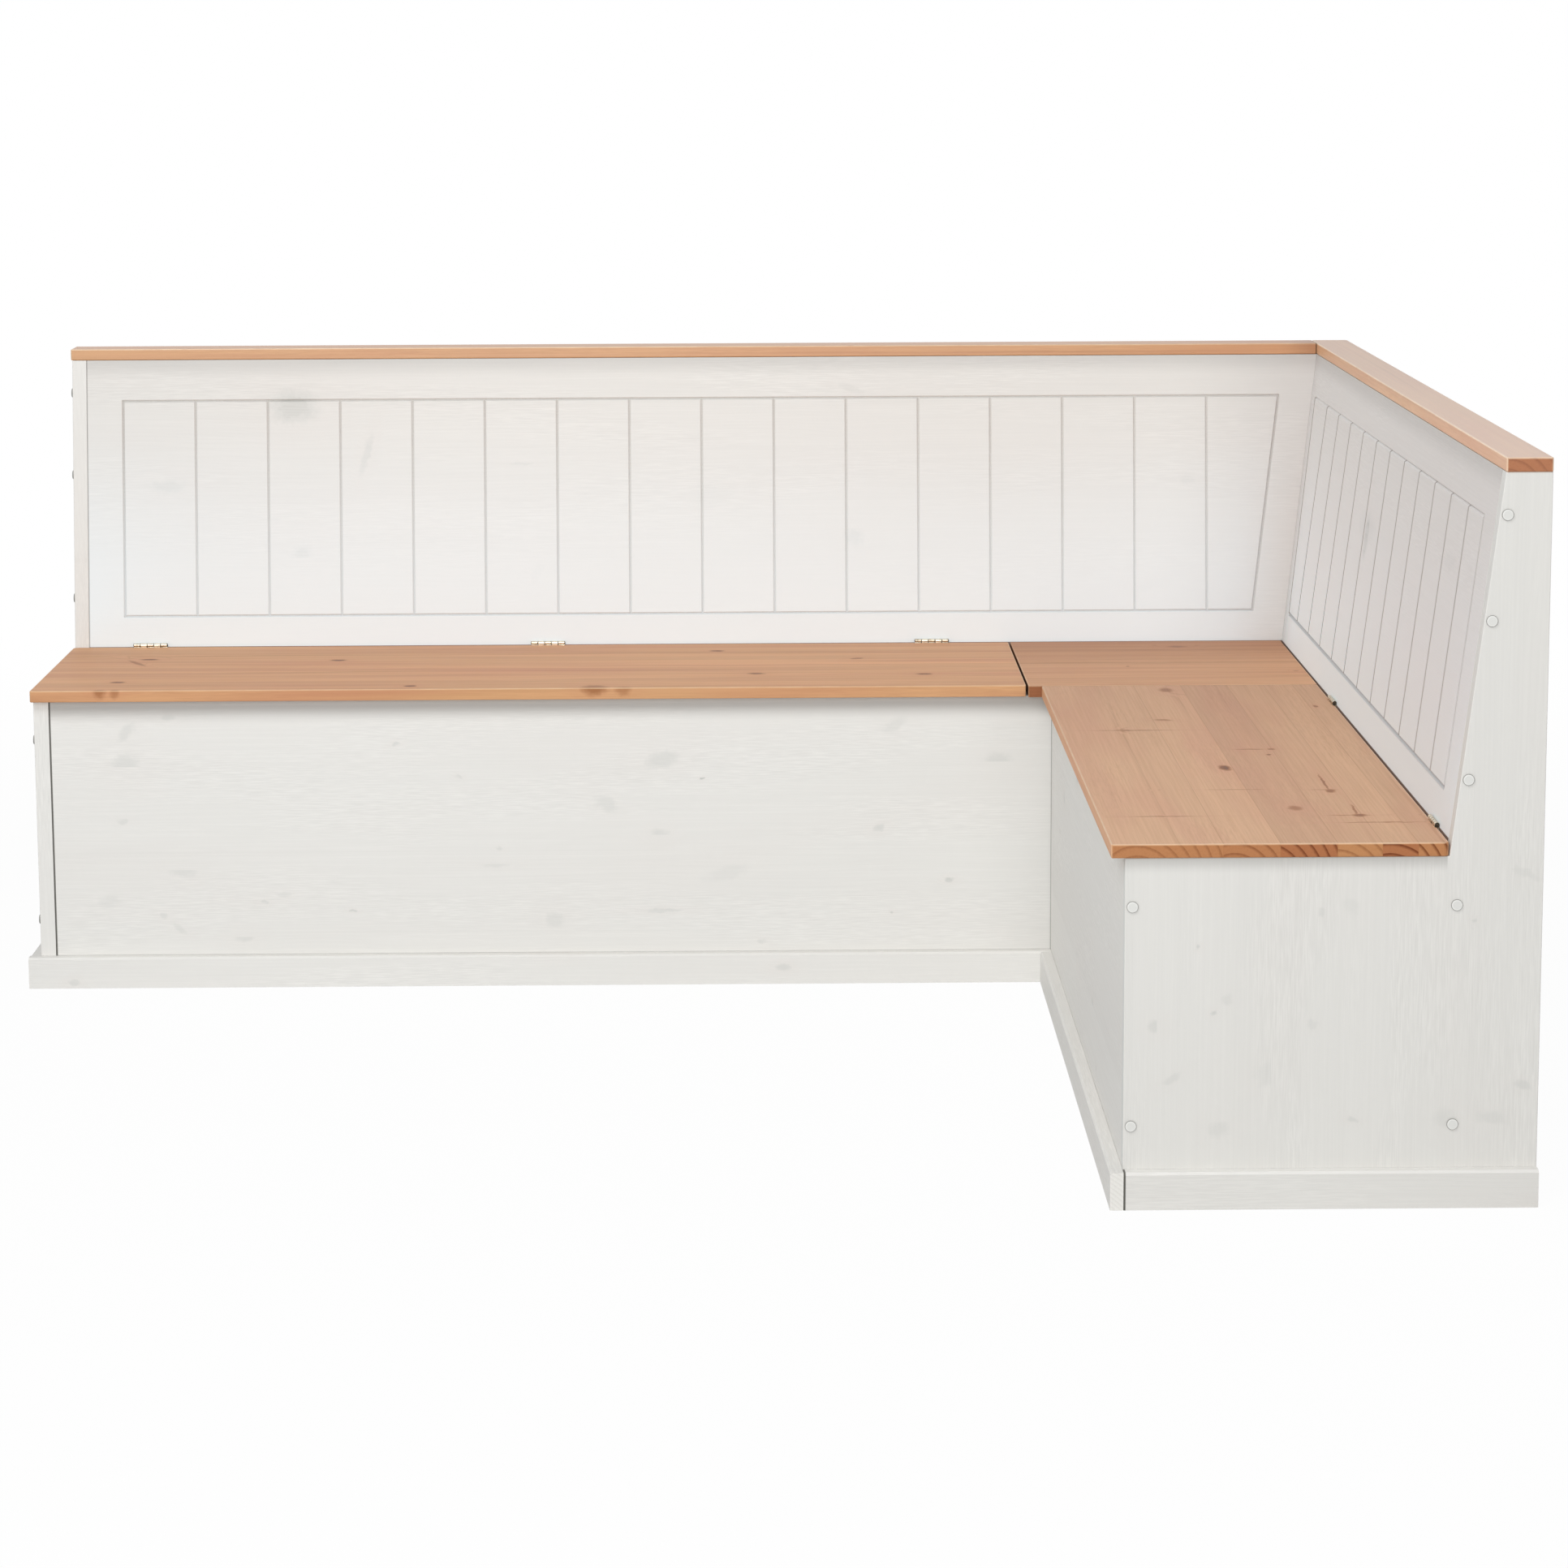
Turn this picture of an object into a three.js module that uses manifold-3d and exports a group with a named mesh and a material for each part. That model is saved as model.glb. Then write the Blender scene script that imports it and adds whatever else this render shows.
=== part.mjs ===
// Corner storage bench: two box seats with leaning backrests that meet at a right angle.
//
// Lengths are millimetres and +Z is up. Both legs of the bench share one cross-section, so each is
// modelled in its own leg frame: x runs along the leg away from the room's corner, y runs forward from
// the wall and z runs up. The long leg's frame is turned into place, and the short leg's is its mirror
// image, because the short leg has the corner on its other hand.

import * as THREE from "three";
import { mergeVertices } from "three/addons/utils/BufferGeometryUtils.js";
import Module from "manifold-3d";

// Overall sizes
const benchLength = 1980; // the long leg, from the wall to its end panel's outer face
const benchDepth = 1640; // the short leg, measured the same way
const benchHeight = 900;
const seatHeight = 443;
const caseDepth = 496; // from the wall to the outer face of the front panels
const backrestLeanDegrees = 7.1;

// Thickness of the boards
const cheekBoard = 22;
const caseBoard = 18;
const backrestBoard = 18;
const lidBoard = 17;
const railBoard = 17;
const plinthBoard = 16;
const floorBoard = 9;

// Gap between boards that touch, and how far a cutter runs past what it cuts
const seatGap = 0.3;
const overrun = 5;
const weldDistance = 0.001;

// Eased edges, and how much rounder than its edges a board's corners are in plan
const boardEase = 1;
const lidEase = 1.5;
const railEase = 1.5;
const boardCorner = 0.5;
const lidCorner = 1;
const lidOuterCorner = 5;
const railOuterCorner = 5;

// Seat boards
const lidFrontOverhang = 17;
const lidEndOverhang = 2;
const lidRearGap = 0.8; // at a lid's underside, where the leaning backrest comes closest to it
const longLidGap = 2.6; // between the long lid and the fixed corner board
const shortLidGap = 2; // between the short lid and the fixed corner board
const cornerStub = 19.5; // how far the corner board shows beside the short lid
const cornerLip = 6; // how far it stands past the line of the long lid's front

// Backrest panels
const railWidth = 55;
const railOverhang = 2;
const backrestBelowSeat = 43;
const backWallStep = 4; // the upright wall stands this far behind the panel's foot
const grooveWidth = 4.5;
const borderDepth = 2.6;
const plankDepth = 2.3;
const grooveEndShare = 0.3; // of its width, that a groove runs past the line where it ends
const borderDrop = 63; // border groove below the top rail
const borderRise = 47; // border groove above the seat
const longBorderInset = 56; // border groove to the end panel
const shortBorderInset = 72;
const longMitreInset = 52; // border groove to the mitre
const shortMitreInset = 38;
const longPlank = 111.7;
const longFirstPlank = 111.7;
const shortPlank = 121;
const shortFirstPlank = 133;
const leastPlankShare = 0.4; // the last plank is never narrower than this share of a plank

// Plinth
const plinthHeight = 46;
const plinthChamfer = 3;

// Inside of the boxes
const battenSide = 20;
const floorHeight = 50; // top of the battens that carry the floor
const lidBattenWidth = 60;
const lidBattenBoard = 16;
const lidBattenClearance = 15; // to the front panel and the back wall
const longBattenShares = [0.14, 0.5, 0.86];
const shortBattenShares = [0.16, 0.84];

// Butt hinges
const hingeLength = 52;
const knuckleCount = 5;
const knuckleRadius = 2.8;
const knuckleGap = 0.8;
const leafThickness = 1.2;
const leafInset = 1; // the leaf stops this far inside the lid's edge
const leafGap = 0.4; // between the lower ends of a hinge's two leaves
const mortiseGap = 0.5; // between a leaf and each end of its mortise in the lid
const pinRadius = 1.25;
const pinClearance = 0.08;
const pinChamfer = 0.3;
const pinStand = 0.5; // how far the pin stands out of the end knuckles
const longHingeInset = 119;
const longMiddleHingeShare = 0.507;
const shortFarHingeInset = 150;
const shortNearHingeInset = 114;

// Screw caps
const capRadius = 7;
const capRim = 0.8;
const capHeight = 2;
const capFace = 5.6; // radius of its flat face
const backrestCapShares = [0.244, 0.636, 0.896]; // of the height of the backrest panel
const boxCapShares = [0.14, 0.845]; // of the height of the box above the plinth

// Roundness of curved faces
const roundSides = 16;
const capSides = 20;
const capArcSteps = 3;
const cornerSegments = 2;
const easeSegments = 2;

const glazedPine = new THREE.MeshStandardMaterial({ color: 0xe9e6e1, roughness: 0.55, metalness: 0 });
const naturalPine = new THREE.MeshStandardMaterial({ color: 0xd3a17c, roughness: 0.5, metalness: 0 });
const rawPine = new THREE.MeshStandardMaterial({ color: 0xdcbd93, roughness: 0.7, metalness: 0 });
const brass = new THREE.MeshStandardMaterial({ color: 0xb5924c, roughness: 0.35, metalness: 1 });
const capPlastic = new THREE.MeshStandardMaterial({ color: 0xf0efec, roughness: 0.4, metalness: 0 });

// Levels and depths that follow from the sizes, in a leg's frame
const lean = THREE.MathUtils.degToRad(backrestLeanDegrees);
const railUnderside = benchHeight - railBoard;
const caseTop = railUnderside - seatGap;
const lidUnderside = seatHeight - lidBoard;
const boxTop = lidUnderside - seatGap;
const backrestBottom = seatHeight - backrestBelowSeat;
const backWallTop = backrestBottom - seatGap;

/** Depth of the leaning backrest's front face at a height. */
function backrestFace(height) {
  return railWidth + (railUnderside - height) * Math.tan(lean);
}

const backWallFront = backrestFace(backrestBottom) - backWallStep;
const backWallBack = backWallFront - caseBoard;
const boxBack = backWallFront + seatGap;
const boxFront = caseDepth - caseBoard - seatGap;
const plinthInner = caseDepth + seatGap;
const plinthOuter = plinthInner + plinthBoard;
const hingeReach = knuckleRadius + seatGap; // from a hinge's axis to the seat and to the backrest
const hingeAxisHeight = seatHeight + hingeReach;
const hingeAxisDepth = backrestFace(hingeAxisHeight) + hingeReach / Math.cos(lean);
const leafDrop = hingeReach + lidBoard - leafInset; // from the axis to a leaf's lower edge
const fixedLeafNear = knuckleRadius - leafThickness; // from the axis to the near side of a leaf
const lidLeafNear = leafDrop * Math.sin(lean) - fixedLeafNear * Math.cos(lean) + leafGap;
const mortiseFloor = hingeAxisDepth + lidLeafNear + leafThickness + seatGap;
const lidBack = backrestFace(lidUnderside) + lidRearGap;
const lidFront = caseDepth + lidFrontOverhang;
const cornerBack = backrestFace(lidUnderside) + seatGap;
const cornerFront = lidFront + cornerLip;
const cornerEnd = lidFront + cornerStub;
const longLidStart = cornerEnd + longLidGap;
const shortLidStart = cornerFront + shortLidGap;

const wasm = await Module();
wasm.setup();

/** A closed geometry as a solid that can be joined and cut. */
function solidOf(geometry) {
  const bare = geometry.index ? geometry.toNonIndexed() : geometry.clone();
  bare.deleteAttribute("normal");
  bare.deleteAttribute("uv");
  const welded = mergeVertices(bare, weldDistance);
  return new wasm.Manifold(
    new wasm.Mesh({
      numProp: 3,
      vertProperties: welded.attributes.position.array,
      triVerts: new Uint32Array(welded.index.array),
    }),
  );
}

/** A solid as a geometry with flat faces. */
function geometryOf(solid) {
  const mesh = solid.getMesh();
  const geometry = new THREE.BufferGeometry();
  geometry.setAttribute("position", new THREE.BufferAttribute(mesh.vertProperties, mesh.numProp));
  geometry.setIndex(new THREE.BufferAttribute(mesh.triVerts, 1));
  const faceted = geometry.toNonIndexed();
  faceted.computeVertexNormals();
  return faceted;
}

/** One solid out of several. */
function joined(solids) {
  return solids.reduce((whole, next) => whole.add(next));
}

/** A rectangle about the origin with its own radius at each corner: low-low, high-low, high-high, low-high. */
function roundedRectangle(width, height, radii) {
  const [a, b, c, d] = radii;
  const x = width / 2;
  const y = height / 2;
  const shape = new THREE.Shape();
  shape.moveTo(a - x, -y);
  shape.lineTo(x - b, -y);
  shape.absarc(x - b, b - y, b, -Math.PI / 2, 0);
  shape.lineTo(x, y - c);
  shape.absarc(x - c, y - c, c, 0, Math.PI / 2);
  shape.lineTo(d - x, y);
  shape.absarc(d - x, y - d, d, Math.PI / 2, Math.PI);
  shape.lineTo(-x, a - y);
  shape.absarc(a - x, a - y, a, Math.PI, 1.5 * Math.PI);
  return shape;
}

/** A shape given thickness about its own plane, with its edges eased. */
function easedPlate(shape, thickness, ease) {
  const plate = new THREE.ExtrudeGeometry(shape, {
    depth: thickness - 2 * ease,
    bevelEnabled: true,
    bevelThickness: ease,
    bevelSize: ease,
    bevelOffset: -ease,
    bevelSegments: easeSegments,
    curveSegments: cornerSegments,
  });
  return plate.translate(0, 0, ease - thickness / 2);
}

/** The turn that lays a plate's thickness along an axis, with its two sides along the next two. */
const turnFor = {
  x: new THREE.Matrix4().makeBasis(
    new THREE.Vector3(0, 1, 0),
    new THREE.Vector3(0, 0, 1),
    new THREE.Vector3(1, 0, 0),
  ),
  y: new THREE.Matrix4().makeBasis(
    new THREE.Vector3(0, 0, 1),
    new THREE.Vector3(1, 0, 0),
    new THREE.Vector3(0, 1, 0),
  ),
  z: new THREE.Matrix4(),
};
const sidesFor = { x: ["y", "z", "x"], y: ["z", "x", "y"], z: ["x", "y", "z"] };

/** Adds a named mesh to a group. */
function addPiece(group, name, geometry, material) {
  const mesh = new THREE.Mesh(geometry, material);
  mesh.name = name;
  group.add(mesh);
  return mesh;
}

/** A board that fills a span in a leg's frame. thin is the axis of its thickness. */
function addBoard(group, name, material, span, thin, ease = boardEase, radii = undefined) {
  const [sideA, sideB, sideC] = sidesFor[thin].map((axis) => span[axis][1] - span[axis][0]);
  const corners = (radii ?? Array(4).fill(boardCorner)).map((radius) => radius + ease);
  const board = addPiece(
    group,
    name,
    easedPlate(roundedRectangle(sideA, sideB, corners), sideC, ease),
    material,
  );
  board.setRotationFromMatrix(turnFor[thin]);
  const middle = ["x", "y", "z"].map((axis) => (span[axis][0] + span[axis][1]) / 2);
  board.position.set(...middle);
  return board;
}

/** A flat panel whose outline lies in the leg's cross-section, standing across the leg. */
function addSection(group, name, material, points, alongSpan, ease = boardEase) {
  const shape = new THREE.Shape(points.map(([depth, height]) => new THREE.Vector2(depth, height)));
  const panel = addPiece(group, name, easedPlate(shape, alongSpan[1] - alongSpan[0], ease), material);
  panel.setRotationFromMatrix(turnFor.x);
  panel.position.x = (alongSpan[0] + alongSpan[1]) / 2;
  return panel;
}

/** The end panel: box and leaning backrest in one board. */
function addEndPanel(group, name, leg) {
  const outline = [
    [0, 0],
    [caseDepth, 0],
    [caseDepth, boxTop],
    [backrestFace(boxTop), boxTop],
    [railWidth, caseTop],
    [0, caseTop],
  ];
  return addSection(group, name, glazedPine, outline, [leg.length - cheekBoard, leg.length]);
}

/** Depth at which the backrest's screws and their caps lie, at a height. */
function backrestMiddle(height) {
  return backrestFace(height) - backrestBoard / Math.cos(lean) / 2;
}

/** A cap whose back is at the origin and whose flat face, with a rounded edge, looks along x. */
function capGeometry() {
  const profile = [new THREE.Vector2(0, 0), new THREE.Vector2(capRadius, 0)];
  for (let step = 0; step <= capArcSteps; step += 1) {
    const turn = (step / capArcSteps) * (Math.PI / 2);
    const rise = (capHeight - capRim) * Math.sin(turn);
    profile.push(new THREE.Vector2(capFace + (capRadius - capFace) * Math.cos(turn), capRim + rise));
  }
  profile.push(new THREE.Vector2(0, capHeight));
  return new THREE.LatheGeometry(profile, capSides).rotateZ(-Math.PI / 2);
}

/** The screw caps on the outside of an end panel. */
function addCaps(group, side, leg) {
  const boxRise = boxTop - plinthHeight;
  const places = [];
  backrestCapShares.forEach((share, index) => {
    const height = backrestBottom + share * (caseTop - backrestBottom);
    places.push([`${side}_backrest_cap_${index + 1}`, backrestMiddle(height), height]);
  });
  boxCapShares.forEach((share, index) => {
    const height = plinthHeight + share * boxRise;
    places.push([`${side}_rear_cap_${index + 1}`, backWallFront - caseBoard / 2, height]);
    places.push([`${side}_front_cap_${index + 1}`, caseDepth - caseBoard / 2, height]);
  });
  for (const [name, depth, height] of places) {
    addPiece(group, name, capGeometry(), capPlastic).position.set(leg.length + seatGap, depth, height);
  }
}

/** The place in a leg's frame of a point on the backrest's front face: along the leg, and at a height. */
function onBackrest(along, height) {
  return new THREE.Vector3(along, backrestFace(height), height);
}

/** A V-shaped cutter of a depth, from one point of the backrest's face to another. */
function grooveCutter(from, to, depth) {
  const run = new THREE.Vector3().subVectors(to, from);
  const length = run.length();
  run.normalize();
  const outward = new THREE.Vector3(0, Math.cos(lean), Math.sin(lean));
  const across = new THREE.Vector3().crossVectors(outward, run);
  const mouth = (grooveWidth / 2) * (1 + overrun / depth);
  const section = new THREE.Shape([
    new THREE.Vector2(0, -depth),
    new THREE.Vector2(mouth, overrun),
    new THREE.Vector2(-mouth, overrun),
  ]);
  const past = grooveEndShare * grooveWidth;
  const cutter = new THREE.ExtrudeGeometry(section, { depth: length + 2 * past, bevelEnabled: false });
  cutter.translate(0, 0, -past);
  cutter.applyMatrix4(new THREE.Matrix4().makeBasis(across, outward, run).setPosition(from));
  return solidOf(cutter);
}

/** What lies past the mitre at the corner, where the two backrests meet. */
function mitreCutter() {
  const reach = backrestFace(0) + overrun;
  const halfGap = seatGap / Math.SQRT2;
  const plan = new THREE.Shape([
    new THREE.Vector2(halfGap - reach, -reach),
    new THREE.Vector2(halfGap + reach, reach),
    new THREE.Vector2(halfGap - reach, reach),
  ]);
  return solidOf(new THREE.ExtrudeGeometry(plan, { depth: benchHeight, bevelEnabled: false }));
}

/** The grooves of a backrest panel: a border with plank lines inside it. */
function backrestGrooves(leg) {
  const top = railUnderside - borderDrop;
  const bottom = seatHeight + borderRise;
  const endLine = leg.length - cheekBoard - leg.borderInset;
  const cornerTop = backrestFace(top) + leg.mitreInset;
  const cornerBottom = backrestFace(bottom) + leg.mitreInset;
  const cutters = [
    grooveCutter(onBackrest(cornerTop, top), onBackrest(endLine, top), borderDepth),
    grooveCutter(onBackrest(cornerBottom, bottom), onBackrest(endLine, bottom), borderDepth),
    grooveCutter(onBackrest(endLine, bottom), onBackrest(endLine, top), borderDepth),
    grooveCutter(onBackrest(cornerBottom, bottom), onBackrest(cornerTop, top), borderDepth),
  ];
  const lastLine = endLine - leastPlankShare * leg.plank;
  for (let along = cornerTop + leg.firstPlank; along < lastLine; along += leg.plank) {
    cutters.push(grooveCutter(onBackrest(along, bottom), onBackrest(along, top), plankDepth));
  }
  return joined(cutters);
}

/** The leaning panel, mitred where it meets the other leg's and milled to look like planks. */
function addBackrest(group, leg) {
  const thickness = backrestBoard / Math.cos(lean);
  const section = new THREE.Shape([
    new THREE.Vector2(backrestFace(backrestBottom) - thickness, backrestBottom),
    new THREE.Vector2(backrestFace(backrestBottom), backrestBottom),
    new THREE.Vector2(backrestFace(caseTop), caseTop),
    new THREE.Vector2(backrestFace(caseTop) - thickness, caseTop),
  ]);
  const blank = new THREE.ExtrudeGeometry(section, {
    depth: leg.length - cheekBoard - seatGap,
    bevelEnabled: false,
  }).applyMatrix4(turnFor.x);
  const panel = solidOf(blank).subtract(mitreCutter()).subtract(backrestGrooves(leg));
  return addPiece(group, `${leg.name}_backrest_panel`, geometryOf(panel), glazedPine);
}

/** A skirting board with a chamfered top edge. run is its span along its length, and it lies along axis. */
function addPlinth(group, name, axis, run, inner) {
  const outer = inner + plinthBoard;
  const section = new THREE.Shape([
    new THREE.Vector2(inner, 0),
    new THREE.Vector2(outer, 0),
    new THREE.Vector2(outer, plinthHeight - plinthChamfer),
    new THREE.Vector2(outer - plinthChamfer, plinthHeight),
    new THREE.Vector2(inner, plinthHeight),
  ]);
  const board = new THREE.ExtrudeGeometry(section, { depth: run[1] - run[0], bevelEnabled: false });
  const plinth = addPiece(group, name, board, glazedPine);
  if (axis === "x") {
    plinth.setRotationFromMatrix(turnFor.x);
    plinth.position.x = run[0];
  } else {
    plinth.rotation.x = Math.PI / 2;
    plinth.position.y = run[1];
  }
  return plinth;
}

/** A partition across a box, scribed to the leaning backrest above the back wall. */
function addPartition(group, name, middle) {
  const outline = [
    [boxBack, 0],
    [boxFront, 0],
    [boxFront, boxTop],
    [backrestFace(boxTop) + seatGap, boxTop],
    [backrestFace(backrestBottom) + seatGap, backrestBottom],
    [boxBack, backrestBottom - backWallStep],
  ];
  const half = caseBoard / 2;
  return addSection(group, name, glazedPine, outline, [middle - half, middle + half]);
}

/** Two battens on the walls of a box, and the floor panel that they carry. */
function addFloor(group, leg) {
  const along = [leg.boxStart + seatGap, leg.length - cheekBoard - seatGap];
  const rise = [floorHeight - battenSide, floorHeight];
  const rear = { x: along, y: [boxBack, boxBack + battenSide], z: rise };
  const front = { x: along, y: [boxFront - battenSide, boxFront], z: rise };
  addBoard(group, `${leg.name}_rear_floor_batten`, rawPine, rear, "z");
  addBoard(group, `${leg.name}_front_floor_batten`, rawPine, front, "z");
  const bed = floorHeight + seatGap;
  const floor = { x: along, y: [boxBack, boxFront], z: [bed, bed + floorBoard] };
  addBoard(group, `${leg.name}_floor_panel`, rawPine, floor, "z");
}

/** Cuts a lid's rear edge back where its hinges' leaves lie. */
function cutMortises(lid, leg) {
  const half = hingeLength / 2 + mortiseGap;
  const mortises = leg.hingePlaces.map((along) =>
    barSolid(
      [along - half, lidBack - overrun, lidUnderside - overrun],
      [along + half, mortiseFloor, seatHeight + overrun],
    ),
  );
  const cutters = joined(mortises).translate(lid.position.clone().negate().toArray());
  lid.geometry = geometryOf(solidOf(lid.geometry).subtract(cutters));
}

/** A hinged seat board and the battens that keep it flat. */
function addLid(group, leg) {
  const span = {
    x: [leg.lidStart, leg.length + lidEndOverhang],
    y: [lidBack, lidFront],
    z: [lidUnderside, seatHeight],
  };
  const radii = [lidCorner, lidOuterCorner, lidCorner, lidCorner];
  cutMortises(addBoard(group, `${leg.name}_seat_lid`, naturalPine, span, "z", lidEase, radii), leg);
  const run = leg.length - cheekBoard - leg.boxStart;
  leg.battenShares.forEach((share, index) => {
    const middle = leg.boxStart + share * run;
    const batten = {
      x: [middle - lidBattenWidth / 2, middle + lidBattenWidth / 2],
      y: [boxBack + lidBattenClearance, boxFront - lidBattenClearance],
      z: [boxTop - lidBattenBoard, boxTop],
    };
    addBoard(group, `${leg.name}_lid_batten_${index + 1}`, rawPine, batten, "z");
  });
}

/** A bar of square section between two corners, as a solid. */
function barSolid(low, high) {
  const [x, y, z] = low.map((value, index) => high[index] - value);
  const bar = new THREE.BoxGeometry(x, y, z);
  return solidOf(bar.translate(low[0] + x / 2, low[1] + y / 2, low[2] + z / 2));
}

/** A round bar along x from one place to another, as a solid. */
function roundSolid(radius, from, to) {
  const bar = new THREE.CylinderGeometry(radius, radius, to - from, roundSides);
  return solidOf(bar.rotateZ(Math.PI / 2).translate((from + to) / 2, 0, 0));
}

/**
 * A hinge leaf about its pin. x runs along the pin, +y points to the board that the leaf is screwed to
 * and z runs up that board. first is 0 for the leaf with the end knuckles and 1 for the other one, and
 * near is the depth of the leaf's near side.
 */
function leafGeometry(first, near) {
  const knuckleLength = (hingeLength - (knuckleCount - 1) * knuckleGap) / knuckleCount;
  const far = near + leafThickness;
  const plateTop = -(hingeReach + leafInset);
  const half = hingeLength / 2;
  const parts = [barSolid([-half, near, -leafDrop], [half, far, plateTop])];
  for (let index = first; index < knuckleCount; index += 2) {
    const from = index * (knuckleLength + knuckleGap) - half;
    const to = from + knuckleLength;
    parts.push(roundSolid(knuckleRadius, from, to));
    parts.push(barSolid([from, near, plateTop - leafThickness], [to, far, 0]));
  }
  const bore = roundSolid(pinRadius + pinClearance, -half - overrun, half + overrun);
  return geometryOf(joined(parts).subtract(bore));
}

/** A hinge pin with chamfered ends, along x. */
function pinGeometry() {
  const end = hingeLength / 2 + pinStand;
  const profile = [
    new THREE.Vector2(0, -end),
    new THREE.Vector2(pinRadius - pinChamfer, -end),
    new THREE.Vector2(pinRadius, pinChamfer - end),
    new THREE.Vector2(pinRadius, end - pinChamfer),
    new THREE.Vector2(pinRadius - pinChamfer, end),
    new THREE.Vector2(0, end),
  ];
  return new THREE.LatheGeometry(profile, roundSides).rotateZ(-Math.PI / 2);
}

/** The butt hinges between a lid and the foot of its backrest panel. */
function addHinges(group, leg) {
  leg.hingePlaces.forEach((along, index) => {
    const name = `${leg.name}_hinge_${index + 1}`;
    const place = new THREE.Vector3(along, hingeAxisDepth, hingeAxisHeight);
    const fixed = addPiece(group, `${name}_fixed_leaf`, leafGeometry(0, fixedLeafNear), brass);
    fixed.position.copy(place);
    fixed.rotation.set(lean, 0, Math.PI);
    addPiece(group, `${name}_lid_leaf`, leafGeometry(1, lidLeafNear), brass).position.copy(place);
    addPiece(group, `${name}_pin`, pinGeometry(), brass).position.copy(place);
  });
}

/** The parts that both legs have alike. */
function addLeg(leg) {
  const group = new THREE.Group();
  const inner = leg.length - cheekBoard - seatGap;
  const front = { x: [leg.frontStart, inner], y: [caseDepth - caseBoard, caseDepth], z: [0, boxTop] };
  const back = { x: [leg.backStart, inner], y: [backWallBack, backWallFront], z: [0, backWallTop] };
  const rail = {
    x: [leg.railStart, leg.length + railOverhang],
    y: [0, railWidth],
    z: [railUnderside, benchHeight],
  };
  addEndPanel(group, `${leg.side}_end_panel`, leg);
  addCaps(group, leg.side, leg);
  addBoard(group, `${leg.name}_front_panel`, glazedPine, front, "y");
  addBoard(group, `${leg.name}_back_wall`, glazedPine, back, "y");
  addBackrest(group, leg);
  addBoard(group, `${leg.name}_top_rail`, naturalPine, rail, "z", railEase, leg.railRadii);
  addPlinth(group, `${leg.name}_plinth`, "x", [leg.plinthStart, leg.length + seatGap + plinthBoard], plinthInner);
  addPlinth(group, `${leg.side}_end_plinth`, "y", [0, caseDepth], leg.length + seatGap);
  addPartition(group, `${leg.side}_partition`, leg.boxStart - caseBoard / 2);
  addFloor(group, leg);
  addLid(group, leg);
  addHinges(group, leg);
  return group;
}

/** The fixed seat board in the corner and the cleat that carries its rear edge, in the long leg's frame. */
function addCorner(group) {
  const board = { x: [cornerBack, cornerEnd], y: [cornerBack, cornerFront], z: [lidUnderside, seatHeight] };
  addBoard(group, "corner_seat_board", naturalPine, board, "z", lidEase, Array(4).fill(lidCorner));
  const cleatBack = backrestFace(boxTop - battenSide) + seatGap;
  const cleat = {
    x: [cleatBack, legs.long.boxStart - caseBoard - seatGap],
    y: [cleatBack, cleatBack + battenSide],
    z: [boxTop - battenSide, boxTop],
  };
  addBoard(group, "corner_cleat", rawPine, cleat, "z");
}

const longLidLength = benchLength + lidEndOverhang - longLidStart;
const legs = {
  long: {
    name: "long",
    side: "left",
    length: benchLength,
    frontStart: caseDepth - caseBoard,
    backStart: backWallBack,
    railStart: railWidth + seatGap,
    railRadii: Array(4).fill(boardCorner),
    plinthStart: plinthInner,
    boxStart: longLidStart - longLidGap / 2 + caseBoard / 2,
    lidStart: longLidStart,
    battenShares: longBattenShares,
    borderInset: longBorderInset,
    mitreInset: longMitreInset,
    plank: longPlank,
    firstPlank: longFirstPlank,
    hingePlaces: [
      longLidStart + longHingeInset,
      longLidStart + (1 - longMiddleHingeShare) * longLidLength,
      benchLength + lidEndOverhang - longHingeInset,
    ],
  },
  short: {
    name: "short",
    side: "right",
    length: benchDepth,
    frontStart: caseDepth + seatGap,
    backStart: backWallFront + seatGap,
    railStart: 0,
    railRadii: [railOuterCorner, boardCorner, boardCorner, boardCorner],
    plinthStart: plinthOuter + seatGap,
    boxStart: shortLidStart - shortLidGap / 2 + caseBoard / 2,
    lidStart: shortLidStart,
    battenShares: shortBattenShares,
    borderInset: shortBorderInset,
    mitreInset: shortMitreInset,
    plank: shortPlank,
    firstPlank: shortFirstPlank,
    hingePlaces: [
      shortLidStart + shortFarHingeInset,
      benchDepth + lidEndOverhang - shortNearHingeInset,
    ],
  },
};

const longLeg = addLeg(legs.long);
addCorner(longLeg);
longLeg.rotation.z = Math.PI;

const shortLeg = addLeg(legs.short);
shortLeg.scale.x = -1;
shortLeg.rotation.z = Math.PI / 2;

// The frame's origin is on the floor, at the middle of the bench's box.
const placed = new THREE.Group();
placed.add(longLeg, shortLeg);
placed.position.x = (benchLength + seatGap + plinthBoard) / 2;
placed.position.y = (benchDepth + seatGap + plinthBoard) / 2;

const cornerStorageBench = new THREE.Group();
cornerStorageBench.add(placed);

export default cornerStorageBench;
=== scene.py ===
"""Corner storage bench: an L-shaped seat of white-glazed pine with oiled pine lids and cap rails.

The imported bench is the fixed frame. Its solids keep their shapes and are dressed in wood, brass and
plastic that are made of shader nodes, and the screws of its hinges and battens are modelled on it.
Lengths are metres, +Z is up and the front faces -Y. The long leg runs along X, the short one along Y.
"""

import logging
import math
from dataclasses import dataclass, field, replace
from enum import Enum
from typing import Callable, Dict, Optional, Sequence, Tuple, Union

import bmesh
import bpy
from mathutils import Euler, Matrix, Vector


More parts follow.
